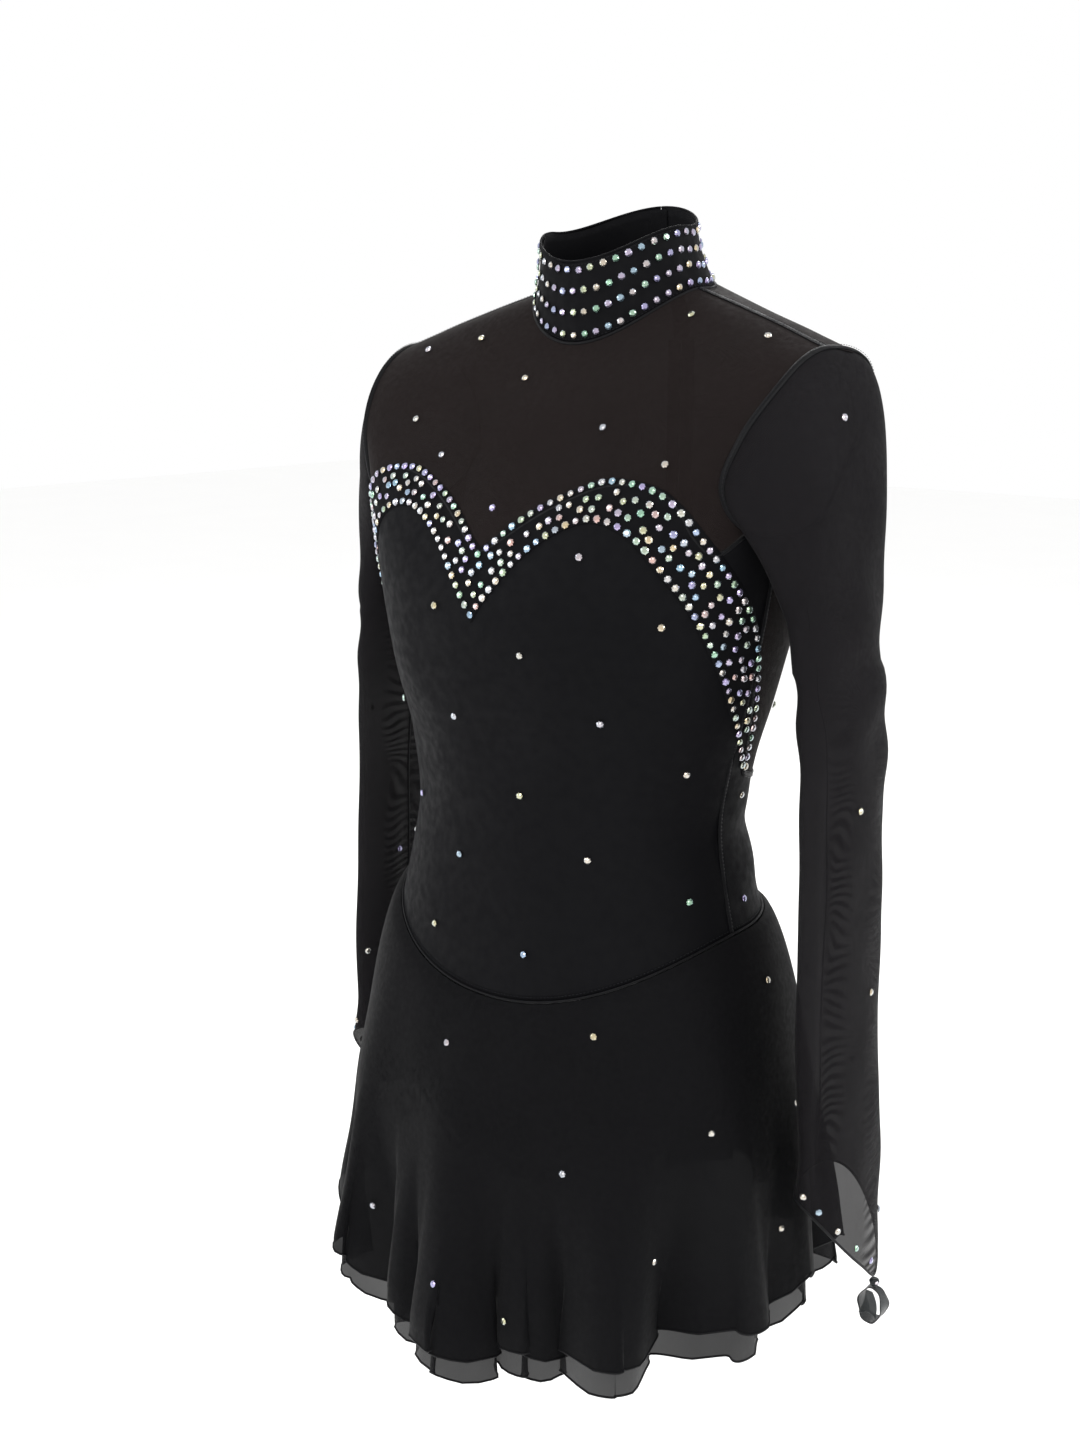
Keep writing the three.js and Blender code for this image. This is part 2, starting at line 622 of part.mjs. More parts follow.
function addSeams(sideName, mirror) {
  const armTop = ARMHOLE_LEVEL - ARMHOLE_HALF_LEVEL;
  const centre = mirror * SEAM_PHI;
  addPiece(`${sideName}_shoulder_tape`, seamTape(centre, 0.16, armTop - 0.32, 3, 6), 'trim');
  const sideTape = seamTape(centre, 8.6, waistSeam(SEAM_PHI) - 0.1, 2.5, SIDE_SEAM_STEPS);
  addPiece(`${sideName}_side_seam`, sideTape, 'trim');
  const seam = (t) => {
    const point = armholePoint(2 * Math.PI * (((t % 1) + 1) % 1));
    point.x *= mirror;
    return point;
  };
  addPiece(`${sideName}_armhole_binding`, facingOut(ringCord(seam, 30, ARMHOLE_PIPING)), 'trim');
}

// ---- sleeves -----------------------------------------------------------------------------------
/** Section of the sleeve at drop d below the shoulders: [centre x, centre y, half thick, half deep]. */
function sleeveSection(drop) {
  const t = (drop - SLEEVE_JOIN_DROP) / (SLEEVE_END_DROP - SLEEVE_JOIN_DROP);
  const x = mix(SLEEVE_TOP_X, SLEEVE_CUFF_X, Math.sqrt(clamp(t, 0, 1)));
  const fuller = 3 * (1 - clamp(2 * t, 0, 1)) ** 2 + 2 * t * t;
  const thick = SLEEVE_HALF_THICK + fuller - 2.5 * Math.sin(Math.PI * clamp(t, 0, 1));
  return [x, SLEEVE_Y, thick, SLEEVE_HALF_DEEP + 3 * t * t];
}

/** A point of the hanging sleeve; turn 0 is the outer side and a quarter turn is the front. */
function sleevePoint(turn, drop) {
  const [x, y, thick, deep] = sleeveSection(drop);
  return new THREE.Vector3(x + thick * Math.cos(turn), y - deep * Math.sin(turn), -drop);
}

/** The armhole edge round one turn, from the shoulder point by the front to the underarm and back. */
function armholePoint(turn) {
  const part = turn / (2 * Math.PI);
  const [phi, v] = part < 0.5 ? armholeEdge('front', 2 * part) : armholeEdge('back', 2 - 2 * part);
  return bodyPoint(phi, v);
}

/** The shoulder of the sleeve, from the armhole at w = 0 to the hanging tube at w = 1. */
function sleeveHeadPoint(turn, w) {
  const start = armholePoint(turn);
  const end = sleevePoint(turn, SLEEVE_JOIN_DROP);
  const top = Math.cos(turn / 2) ** 2;
  const out = new THREE.Vector3(mix(18, 62, top), 0, mix(-10, -26, top));
  const down = new THREE.Vector3(2, 0, -mix(70, 170, top));
  const w2 = w * w;
  const w3 = w2 * w;
  return start.multiplyScalar(2 * w3 - 3 * w2 + 1)
    .addScaledVector(out, w3 - 2 * w2 + w)
    .addScaledVector(end, 3 * w2 - 2 * w3)
    .addScaledVector(down, w3 - w2);
}

/** The drop of the cuff edge, longest behind the outer side, where it ends in a point. */
function cuffDrop(turn) {
  const towards = Math.cos(turn + rad(CUFF_TURN));
  const shortest = SLEEVE_END_DROP - CUFF_RISE;
  return shortest + CUFF_SLANT * ((1 + towards) / 2) ** 2 + CUFF_POINT * Math.max(towards, 0) ** 12;
}

const CUFF_COLUMNS = 24;
const CUFF_EDGE_ROOM = 1.4;

function addSleeve(sideName, mirror) {
  const oriented = (surface) => (u, w) => {
    const turn = 2 * Math.PI * u;
    const point = surface(turn, w);
    return new THREE.Vector3(mirror * point.x, point.y, point.z);
  };
  const headStart = 0.14;
  const head = oriented((turn, w) => sleeveHeadPoint(turn, mix(headStart, 1, w)));
  const headShell = clothShell(head, 16, 5, -HALF_MESH, HALF_MESH, true);
  addPiece(`${sideName}_sleeve_head`, facingOut(headShell), 'mesh');
  const top = SLEEVE_JOIN_DROP + SLEEVE_JOINT_GAP;
  const tube = oriented((turn, w) => sleevePoint(turn, mix(top, cuffDrop(turn), w)));
  const tubeShell = clothShell(tube, CUFF_COLUMNS, 6, -HALF_MESH, HALF_MESH, true);
  addPiece(`${sideName}_sleeve`, facingOut(tubeShell), 'mesh');
  const edge = (t) => {
    const turn = 2 * Math.PI * t;
    const point = sleevePoint(turn, cuffDrop(turn) + ROLLED_EDGE + CLEAR + CUFF_EDGE_ROOM);
    return new THREE.Vector3(mirror * point.x, point.y, point.z);
  };
  addPiece(`${sideName}_cuff_edge`, facingOut(ringCord(edge, CUFF_COLUMNS, ROLLED_EDGE, 4)), 'trim');
}

/** The cuff's point, where the finger loop is tied. */
function cuffTip(mirror) {
  const turn = -rad(CUFF_TURN);
  const point = sleevePoint(turn, cuffDrop(turn));
  return new THREE.Vector3(mirror * point.x, point.y, point.z);
}

function addFingerLoop(sideName, mirror) {
  const tip = cuffTip(mirror);
  const knotDrop = 2 * ROLLED_EDGE + 2 * CLEAR + 1.2 + KNOT_RADIUS;
  const knot = new THREE.SphereGeometry(KNOT_RADIUS, 10, 7);
  knot.scale(1, 1.15, 1);
  knot.translate(tip.x, tip.y, tip.z - knotDrop);
  addPiece(`${sideName}_cuff_knot`, knot, 'organza');
  const loopTop = tip.z - knotDrop - KNOT_RADIUS - CLEAR;
  const outline = new THREE.Shape();
  outline.absellipse(0, 0, LOOP_HALF_WIDTH, LOOP_HALF_HEIGHT, 0, 2 * Math.PI, false, 0);
  const hole = new THREE.Path();
  hole.absellipse(0, 0, LOOP_HALF_WIDTH - LOOP_THICK, LOOP_HALF_HEIGHT - LOOP_THICK, 0, 2 * Math.PI, true, 0);
  outline.holes.push(hole);
  const drawn = { depth: LOOP_RIBBON, bevelEnabled: false, curveSegments: 14 };
  const ribbon = new THREE.ExtrudeGeometry(outline, drawn);
  ribbon.translate(0, 0, -LOOP_RIBBON / 2);
  ribbon.rotateX(Math.PI / 2);
  ribbon.translate(tip.x, tip.y, loopTop - LOOP_HALF_HEIGHT);
  addPiece(`${sideName}_finger_loop`, ribbon, 'organza');
  const tail = new THREE.Shape();
  tail.moveTo(-TAIL_WIDTH / 4, 0);
  tail.lineTo(TAIL_WIDTH / 4, 0);
  tail.lineTo(TAIL_WIDTH / 2, -TAIL_LENGTH);
  tail.lineTo(0, -TAIL_LENGTH * 0.82);
  tail.lineTo(-TAIL_WIDTH / 2, -TAIL_LENGTH * 0.9);
  tail.closePath();
  const tailCloth = new THREE.ExtrudeGeometry(tail, { depth: LOOP_THICK, bevelEnabled: false });
  tailCloth.rotateX(Math.PI / 2);
  tailCloth.translate(tip.x, tip.y - LOOP_RIBBON / 2 - CLEAR, loopTop);
  addPiece(`${sideName}_loop_tail`, tailCloth, 'organza');
}

// ---- skirt -------------------------------------------------------------------------------------
const SKIRT_SQUARENESS = 2.25;
const SKIRT_EASE = 0.6;
const SKIRT_FULL_DROP = CROTCH_DROP + 40;
const SKIRT_COLUMNS = 60;
const SKIRT_TOP_LEVELS = 0.1;

/** The drop of the longer skirt layer's hem: lowest in front, and caught up over the right hip. */
function hemDrop(phi) {
  const dip = SKIRT_FRONT_DIP * Math.max(Math.cos(rad(phi + HEM_TURN)), 0) ** 1.6;
  const rise = SKIRT_HIP_RISE * Math.max(Math.cos(rad(phi + RISE_TURN)), 0) ** 4;
  return SKIRT_SIDE_HEM_DROP + dip - rise;
}

/** A point of a skirt layer, t from 0 at the waist seam to 1 at its hem. */
function skirtPoint(phi, t, inward, shorter) {
  const start = bodyPoint(phi, waistSeam(phi) + SKIRT_TOP_LEVELS);
  const hem = loopPoint([SKIRT_SIDE_HALF, SIDE_Y_WAIST, -SKIRT_FRONT_REACH, SKIRT_BACK_REACH, 0, 0, 0,
    SKIRT_SQUARENESS], phi);
  const bottom = -hemDrop(phi) + shorter;
  const fallen = (t * (start.z - bottom)) / (SKIRT_FULL_DROP + start.z);
  const spread = Math.min(fallen, 1) ** SKIRT_EASE;
  const sideness = Math.abs(Math.sin(rad(phi))) ** 5;
  const swing = Math.cos(rad(FLUTES * phi + 25 * Math.sin(rad(phi))));
  const flute = FLUTE_DEPTH * t ** 1.5 * (1 - 0.85 * sideness) * swing;
  const outward = new THREE.Vector3(start.x, start.y - SIDE_Y_WAIST, 0).normalize();
  const x = mix(start.x, hem.x, spread);
  const y = mix(start.y, hem.y, spread);
  const point = new THREE.Vector3(x, y, mix(start.z, bottom, t));
  return point.addScaledVector(outward, flute - inward * Math.min(1, 3 * t));
}

function addSkirtLayer(name, inward, shorter, offset) {
  const surface = (u, w) => skirtPoint(360 * u - 180, w, inward, shorter);
  const shell = clothShell(surface, SKIRT_COLUMNS, 4, offset - CHIFFON / 2, offset + CHIFFON / 2, true);
  addPiece(name, facingOut(shell), 'chiffon');
  const edge = (t) => {
    const point = skirtPoint(360 * t - 180, 1, inward, shorter);
    point.z -= ROLLED_EDGE + CLEAR + 0.6;
    return point;
  };
  addPiece(`${name}_hem`, facingOut(ringCord(edge, SKIRT_COLUMNS, ROLLED_EDGE, 3)), 'trim');
}

function addWaistPiping() {
  const path = (t) => {
    const phi = 360 * t - 180;
    const point = bodyPoint(phi, waistSeam(phi));
    const outward = new THREE.Vector3(point.x, point.y - SIDE_Y_WAIST, 0).normalize();
    return point.addScaledVector(outward, HALF_CLOTH + CURVE_CLEAR + PIPING);
  };
  addPiece('waist_piping', facingOut(ringCord(path, 48, PIPING, 4)), 'trim');
}

// ---- briefs ------------------------------------------------------------------------------------
const BRIEFS_IN = -3;
const GUSSET_LEVEL = 16.6;
const GUSSET_HALF = 32;

/** The edge of the briefs' front or back: a short side seam, then the leg opening. */
function briefsEdge(w, lowPhi) {
  const seamShare = 0.2;
  const seamEnd = 13.6;
  const seamPhi = SEAM_PHI - SEAM_GAP;
  if (w < seamShare) {
    return [seamPhi, mix(waistSeam(SEAM_PHI) + 0.5, seamEnd, w / seamShare)];
  }
  const t = (w - seamShare) / (1 - seamShare);
  return [mix(seamPhi, lowPhi, Math.sin((Math.PI / 2) * t) ** 0.9), mix(seamEnd, GUSSET_LEVEL, t ** 1.35)];
}

function briefsPoint(side, across, w) {
  const lowPhi = THREE.MathUtils.radToDeg(Math.asin(GUSSET_HALF / loopAt(GUSSET_LEVEL)[0]));
  const [edgePhi, edgeV] = briefsEdge(w, lowPhi);
  const share = Math.abs(across);
  const centreV = mix(waistSeam(side === 'front' ? 0 : CENTRE_BACK) + 0.5, GUSSET_LEVEL, w);
  const topV = waistSeam(side === 'front' ? edgePhi * share : CENTRE_BACK) + 0.5;
  const v = mix(mix(centreV, edgeV, share ** 2), topV, w < 0.001 ? 1 : 0);
  const phi = edgePhi * across;
  return bodyPoint(side === 'front' ? phi : CENTRE_BACK - phi, v);
}

function addBriefs() {
  for (const side of ['front', 'back']) {
    const surface = (u, w) => briefsPoint(side, side === 'front' ? 2 * u - 1 : 1 - 2 * u, w);
    const shell = clothShell(surface, 14, 7, BRIEFS_IN - HALF_CLOTH, BRIEFS_IN + HALF_CLOTH);
    addPiece(`briefs_${side}`, facingOut(shell), 'stretch');
  }
}

function addGusset() {
  const low = loopAt(GUSSET_LEVEL);
  const phi = THREE.MathUtils.radToDeg(Math.asin(GUSSET_HALF / low[0]));
  const front = loopPoint(low, phi);
  const back = loopPoint(low, CENTRE_BACK - phi);
  const clear = 4;
  const path = new THREE.CubicBezierCurve3(
    new THREE.Vector3(0, front.y + clear, front.z - 2),
    new THREE.Vector3(0, front.y + 22, front.z - 24),
    new THREE.Vector3(0, back.y - 26, back.z - 24),
    new THREE.Vector3(0, back.y - clear, back.z - 2),
  );
  const surface = (u, w) => {
    const point = path.getPoint(w);
    point.x = mix(-GUSSET_HALF, GUSSET_HALF, u) * (1 - 0.25 * Math.sin(Math.PI * w));
    return point;
  };
  addPiece('briefs_gusset', facingOut(clothShell(surface, 3, 7, -HALF_CLOTH, HALF_CLOTH)), 'stretch');
}

/** The elastic round one leg opening, just outside the cloth edges it gathers. */
function addLegElastic(sideName, mirror) {
  const lowPhi = THREE.MathUtils.radToDeg(Math.asin(GUSSET_HALF / loopAt(GUSSET_LEVEL)[0]));
  const seamShare = 0.2;
  const corners = [];
  const shares = [0, 0.14, 0.28, 0.42, 0.56, 0.7, 0.84];
  const shifted = (phi, v) => {
    const point = bodyPoint(phi, v);
    return new THREE.Vector3(point.x, point.y, point.z - 4);
  };
  for (const share of shares) {
    const [phi, v] = briefsEdge(mix(seamShare, 1, share), lowPhi);
    corners.push(shifted(phi, v));
  }
  const low = bodyPoint(lowPhi, GUSSET_LEVEL);
  const lowBack = bodyPoint(CENTRE_BACK - lowPhi, GUSSET_LEVEL);
  const outside = GUSSET_HALF + 6;
  corners.push(new THREE.Vector3(outside, low.y + 8, low.z - 4));
  corners.push(new THREE.Vector3(outside - 6, mix(low.y, lowBack.y, 0.5), low.z - 17));
  corners.push(new THREE.Vector3(outside, lowBack.y - 8, low.z - 4));
  for (const share of [...shares].reverse()) {
    const [phi, v] = briefsEdge(mix(seamShare, 1, share), lowPhi);
    if (share > 0) {
      corners.push(shifted(CENTRE_BACK - phi, v));
    }
  }
  const curve = new THREE.CatmullRomCurve3(corners, true, 'centripetal');
  const path = (t) => {
    const point = curve.getPoint(((t % 1) + 1) % 1);
    point.x *= mirror;
    return point;
  };
  addPiece(`${sideName}_leg_elastic`, facingOut(ringCord(path, 34, ELASTIC, 4)), 'trim');
}

// ---- zip ---------------------------------------------------------------------------------------
/** One solid made of boxes, each given by its lowest and highest corners. */
function unionOfBoxes(wasm, boxes) {
  let solid = null;
  for (const [low, high] of boxes) {
    const box = new THREE.BoxGeometry(high[0] - low[0], high[1] - low[1], high[2] - low[2]);
    box.translate((low[0] + high[0]) / 2, (low[1] + high[1]) / 2, (low[2] + high[2]) / 2);
    const made = toManifold(wasm, box);
    solid = solid ? solid.add(made) : made;
  }
  return fromManifold(solid);
}

/** A manifold solid from a box-like geometry whose corners repeat for each face. */
function toManifold(wasm, geometry) {
  const position = geometry.getAttribute('position');
  const corners = new Map();
  const vertices = [];
  const slots = [];
  for (let i = 0; i < position.count; i += 1) {
    const point = [position.getX(i), position.getY(i), position.getZ(i)];
    const key = point.map((value) => value.toFixed(4)).join(' ');
    if (!corners.has(key)) {
      corners.set(key, vertices.length / 3);
      vertices.push(...point);
    }
    slots.push(corners.get(key));
  }
  const triangles = Array.from(geometry.getIndex().array, (i) => slots[i]);
  const mesh = new wasm.Mesh({
    numProp: 3,
    vertProperties: new Float32Array(vertices),
    triVerts: new Uint32Array(triangles),
  });
  return new wasm.Manifold(mesh);
}

function fromManifold(solid) {
  const mesh = solid.getMesh();
  const geometry = new THREE.BufferGeometry();
  geometry.setAttribute('position', new THREE.Float32BufferAttribute(mesh.vertProperties, 3));
  geometry.setIndex(Array.from(mesh.triVerts));
  return geometry;
}

/** Heights and depths that the zip's pieces share. */
const ZIP_BOTTOM_DROP = ZIP_TOP_DROP + ZIP_LENGTH;
const TAPE_FACE_Y = UPPER_BACK - ZIP_RECESS;
const CHAIN_FACE_Y = TAPE_FACE_Y + CLEAR + ZIP_CHAIN_THICK;
const PLATE_Y = CHAIN_FACE_Y + CLEAR;
const SLIDER_TOP_DROP = ZIP_TOP_DROP + 3;
const SLIDER_MIDDLE_DROP = SLIDER_TOP_DROP + SLIDER_LENGTH / 2;
const STOP_LENGTH = 3;

function addBox(name, low, high, kind) {
  const box = new THREE.BoxGeometry(high[0] - low[0], high[1] - low[1], high[2] - low[2]);
  box.translate((low[0] + high[0]) / 2, (low[1] + high[1]) / 2, (low[2] + high[2]) / 2);
  addPiece(name, box, kind);
}

function addZip(wasm) {
  for (const [sideName, mirror] of [['left', 1], ['right', -1]]) {
    const xs = [mirror * CLEAR, mirror * (CLEAR + ZIP_TAPE_WIDTH)].sort((a, b) => a - b);
    addBox(`${sideName}_zip_tape`, [xs[0], TAPE_FACE_Y - TAPE, -ZIP_BOTTOM_DROP - 6],
      [xs[1], TAPE_FACE_Y, -ZIP_TOP_DROP + STOP_LENGTH], 'nylon');
  }
  addBox('zip_chain', [-ZIP_CHAIN_HALF, TAPE_FACE_Y + CLEAR, -ZIP_BOTTOM_DROP],
    [ZIP_CHAIN_HALF, CHAIN_FACE_Y, -SLIDER_TOP_DROP - 1], 'nylon');
  addBox('zip_top_stop', [-ZIP_CHAIN_HALF - 0.4, TAPE_FACE_Y + CLEAR, -ZIP_TOP_DROP - 1.5],
    [ZIP_CHAIN_HALF + 0.4, CHAIN_FACE_Y + 0.3, -ZIP_TOP_DROP + STOP_LENGTH - 1.5], 'metal');
  addBox('zip_bottom_stop',
    [-ZIP_CHAIN_HALF - 0.6, TAPE_FACE_Y + CLEAR, -ZIP_BOTTOM_DROP - CLEAR - STOP_LENGTH],
    [ZIP_CHAIN_HALF + 0.6, CHAIN_FACE_Y + 0.3, -ZIP_BOTTOM_DROP - CLEAR], 'metal');
  addSlider(wasm);
  addPullTab();
}

/** The slider: a plate over the chain, a flange each side of it and the bail for the pull tab. */
function addSlider(wasm) {
  const plateTop = PLATE_Y + SLIDER_PLATE;
  const barLow = plateTop + BAIL_ROOM;
  const z = -SLIDER_MIDDLE_DROP;
  const postThick = 1.2;
  const flangeX = ZIP_CHAIN_HALF + 0.4;
  const flangeY = TAPE_FACE_Y + 2 * CLEAR;
  const halfBail = BAIL_WIDTH / 2;
  const lap = 0.1;
  const top = z + SLIDER_LENGTH / 2;
  const bottom = z - SLIDER_LENGTH / 2;
  const bailTop = z + BAIL_HALF_LENGTH;
  const bailBottom = z - BAIL_HALF_LENGTH;
  const boxes = [
    [[-SLIDER_HALF, PLATE_Y, bottom], [SLIDER_HALF, plateTop, top]],
    [[flangeX, flangeY, bottom], [SLIDER_HALF, PLATE_Y + lap, top]],
    [[-SLIDER_HALF, flangeY, bottom], [-flangeX, PLATE_Y + lap, top]],
    [[-halfBail, plateTop - lap, bailBottom], [halfBail, barLow + lap, bailBottom + postThick]],
    [[-halfBail, plateTop - lap, bailTop - postThick], [halfBail, barLow + lap, bailTop]],
    [[-halfBail, barLow, bailBottom], [halfBail, barLow + BAIL_BAR, bailTop]],
  ];
  addPiece('zip_slider', unionOfBoxes(wasm, boxes), 'metal');
}

/** The pull tab hangs from the bail by a slot and turns about its own top bar. */
function addPullTab() {
  const axisY = PLATE_Y + SLIDER_PLATE + BAIL_ROOM / 2;
  const barHalf = 0.9;
  const slotHalf = BAIL_WIDTH / 2 + 0.6;
  const slotEnd = -BAIL_HALF_LENGTH - 2.6;
  const half = TAB_WIDTH / 2;
  const outline = new THREE.Shape();
  outline.moveTo(-half + 0.9, barHalf);
  outline.lineTo(half - 0.9, barHalf);
  outline.lineTo(half, barHalf - 0.9);
  outline.lineTo(half, slotEnd - 2);
  outline.lineTo(half - 1, slotEnd - 5);
  outline.lineTo(half, -TAB_LENGTH + 3);
  outline.absarc(0, -TAB_LENGTH + 3, half, 0, -Math.PI, true);
  outline.lineTo(-half + 1, slotEnd - 5);
  outline.lineTo(-half, slotEnd - 2);
  outline.lineTo(-half, barHalf - 0.9);
  outline.closePath();
  const slot = new THREE.Path();
  slot.moveTo(-slotHalf, -barHalf);
  slot.lineTo(-slotHalf, slotEnd);
  slot.lineTo(slotHalf, slotEnd);
  slot.lineTo(slotHalf, -barHalf);
  slot.closePath();
  outline.holes.push(slot);
  const tab = new THREE.ExtrudeGeometry(outline, { depth: TAB_THICK, bevelEnabled: false, curveSegments: 8 });
  tab.translate(0, 0, -TAB_THICK / 2);
  tab.rotateX(Math.PI / 2);
  tab.translate(0, axisY, -SLIDER_MIDDLE_DROP);
  addPiece('zip_pull_tab', tab, 'metal');
}

// ---- assembly ----------------------------------------------------------------------------------
const wasm = await Module();
wasm.setup();

addFrontYoke();
addFrontBodice();
addSweetheartBand();
addCollar();
addCollarCatch(wasm);
for (const [sideName, mirror] of [['left', 1], ['right', -1]]) {
  addBackYoke(sideName, mirror);
  addBackBodice(sideName, mirror);
  addSeams(sideName, mirror);
  addSleeve(sideName, mirror);
  addFingerLoop(sideName, mirror);
  addLegElastic(sideName, mirror);
}
addWaistPiping();
addSkirtLayer('skirt_outer', 0, SKIRT_UNDERLAYER_SHOWS, 2.4);
addSkirtLayer('skirt_inner', SKIRT_LAYER_GAP, 0, 1);
addBriefs();
addGusset();
addZip(wasm);

export default uniform;
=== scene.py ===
"""Visual model of a long-sleeved competition dress with a sheer yoke, crystals and a chiffon skirt.

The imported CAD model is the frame. Every class below makes one sub-assembly of the dress in its worn
shape and hangs it on the frame's bodies. Working sizes are in millimetres and meshes in metres.
"""

import logging
import math
from dataclasses import dataclass
from enum import Enum
from typing import Callable, Optional, Sequence

import bpy
import numpy as np
from mathutils import Matrix, Vector


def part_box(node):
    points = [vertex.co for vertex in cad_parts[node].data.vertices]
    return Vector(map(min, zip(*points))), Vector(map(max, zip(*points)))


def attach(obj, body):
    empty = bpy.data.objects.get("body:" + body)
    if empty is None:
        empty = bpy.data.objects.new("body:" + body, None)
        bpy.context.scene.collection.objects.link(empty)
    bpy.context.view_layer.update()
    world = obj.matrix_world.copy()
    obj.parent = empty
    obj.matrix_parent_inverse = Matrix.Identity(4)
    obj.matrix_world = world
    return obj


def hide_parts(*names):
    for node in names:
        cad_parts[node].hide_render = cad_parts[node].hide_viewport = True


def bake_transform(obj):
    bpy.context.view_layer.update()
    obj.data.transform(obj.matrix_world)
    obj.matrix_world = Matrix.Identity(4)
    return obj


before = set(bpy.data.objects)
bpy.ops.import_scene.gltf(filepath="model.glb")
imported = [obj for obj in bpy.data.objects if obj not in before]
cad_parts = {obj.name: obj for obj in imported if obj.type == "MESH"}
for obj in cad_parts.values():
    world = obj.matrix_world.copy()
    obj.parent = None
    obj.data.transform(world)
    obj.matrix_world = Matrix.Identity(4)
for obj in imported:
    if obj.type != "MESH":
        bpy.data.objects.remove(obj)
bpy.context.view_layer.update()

LOG = logging.getLogger("dress")
Array = np.ndarray
Surface = Callable[[Array, Array], Array]
Corners = Sequence[tuple[float, float]]
MM = 0.001
CLOTH_MAP = "cloth"


class Side(Enum):
    """A side of the wearer, with the sign of its x."""

    LEFT = 1
    RIGHT = -1

    @property
    def word(self) -> str:
        """The side's name as the nodes have it."""
        return self.name.lower()


class Weave(Enum):
    """How the threads of a cloth lie."""

    KNIT = "knit"
    MESH = "mesh"
    PLAIN = "plain"
    TWILL = "twill"


# ---- sums ----


def mix(a: Array | float, b: Array | float, t: Array | float) -> Array | float:
    """The value a share t of the way from a to b."""
    return a + (b - a) * t


def smooth(low: float, high: float, x: Array) -> Array:
    """A soft step from 0 at low to 1 at high.

    Args:
        low: Where the step starts.
        high: Where it ends.
        x: The values to step.

    Returns:
        The stepped values, from 0 to 1.
    """
    t = np.clip((np.asarray(x, float) - low) / (high - low), 0.0, 1.0)
    return t * t * (3.0 - 2.0 * t)


def line_through(corners: Corners, phi: Array) -> Array:
    """A smooth line through a few corners, the same on both sides of the centre.

    Args:
        corners: Pairs of angle and value, in order.
        phi: The angles, in degrees.

    Returns:
        The line's values at those angles.
    """
    xs = np.array([c[0] for c in corners], float)
    ys = np.array([c[1] for c in corners], float)
    x = np.abs(np.asarray(phi, float))
    last = len(xs) - 2
    k = np.clip(np.searchsorted(xs, x, side="left") - 1, 0, last)
    before = np.maximum(k - 1, 0)
    after = np.minimum(k + 2, last + 1)
    span = xs[k + 1] - xs[k]
    t = np.clip((x - xs[k]) / span, 0.0, 1.0)
    m0 = (ys[k + 1] - ys[before]) / (xs[k + 1] - xs[before]) * span
    m1 = (ys[after] - ys[k]) / (xs[after] - xs[k]) * span
    t2, t3 = t * t, t * t * t
    leave, arrive = 2 * t3 - 3 * t2 + 1, 3 * t2 - 2 * t3
    return leave * ys[k] + (t3 - 2 * t2 + t) * m0 + arrive * ys[k + 1] + (t3 - t2) * m1


def unit(v: Array) -> Array:
    """Vectors scaled to length one."""
    return v / np.maximum(np.linalg.norm(v, axis=-1, keepdims=True), 1e-9)


def run_length(line: Array) -> Array:
    """How far along a line each of its points lies, starting from 0."""
    return np.concatenate([[0.0], np.cumsum(np.linalg.norm(np.diff(line, axis=0), axis=-1))])


def bend_through(a: Array, b: Array, d: Array, e: Array, t: Array) -> Array:
    """The smooth curve between b and d, for t from 0 to 1, with a before them and e after."""
    return 0.5 * (2 * b + (d - a) * t + (2 * a - 5 * b + 4 * d - e) * t**2 + (3 * b - a - 3 * d + e) * t**3)


class Unevenness:
    """Smooth, repeatable unevenness of cloth, as a sum of slow waves."""

    def __init__(self, seed: int, height: float, wavelength: float,
                 stretch: Sequence[float] = (1, 1, 1)) -> None:
        """Draws the waves.

        Args:
            seed: The seed of the draw.
            height: The usual height of the waves, in mm.
            wavelength: Their middling length, in mm.
            stretch: How busy the waves are along x, y and z.
        """
        draw = np.random.default_rng(seed)
        count = 14
        directions = unit(draw.normal(size=(count, 3))) * np.asarray(stretch, float)
        lengths = wavelength * draw.uniform(0.6, 1.7, size=(count, 1))
        self.waves = directions * 2 * math.pi / lengths
        self.phases = draw.uniform(0, 2 * math.pi, size=count)
        self.height = height / math.sqrt(count / 2)

    def __call__(self, points: Array) -> Array:
        """The unevenness at some points, in mm."""
        return self.height * np.sin(points @ self.waves.T + self.phases).sum(axis=-1)


# ---- the worn shape ----


@dataclass(frozen=True)
class WornSizes:
    """Half widths, reaches from the neck's axis and drops below the shoulders, in mm."""

    neck_half: float = 64.0
    shoulder_half: float = 190.0
    chest_half: float = 150.0
    waist_half: float = 125.0
    hip_half: float = 150.0
    neck_front: float = 49.0
    bust_front: float = 152.0
    waist_front: float = 133.0
    hip_front: float = 147.0
    neck_back: float = 55.0
    upper_back: float = 77.0
    waist_back: float = 50.0
    hip_back: float = 88.0
    shoulder_drop: float = 44.0
    bust_drop: float = 210.0
    waist_drop: float = 345.0
    hip_drop: float = 520.0
    crotch_drop: float = 645.0
    side_y_neck: float = 5.0
    side_y_chest: float = -33.0
    side_y_waist: float = -41.0


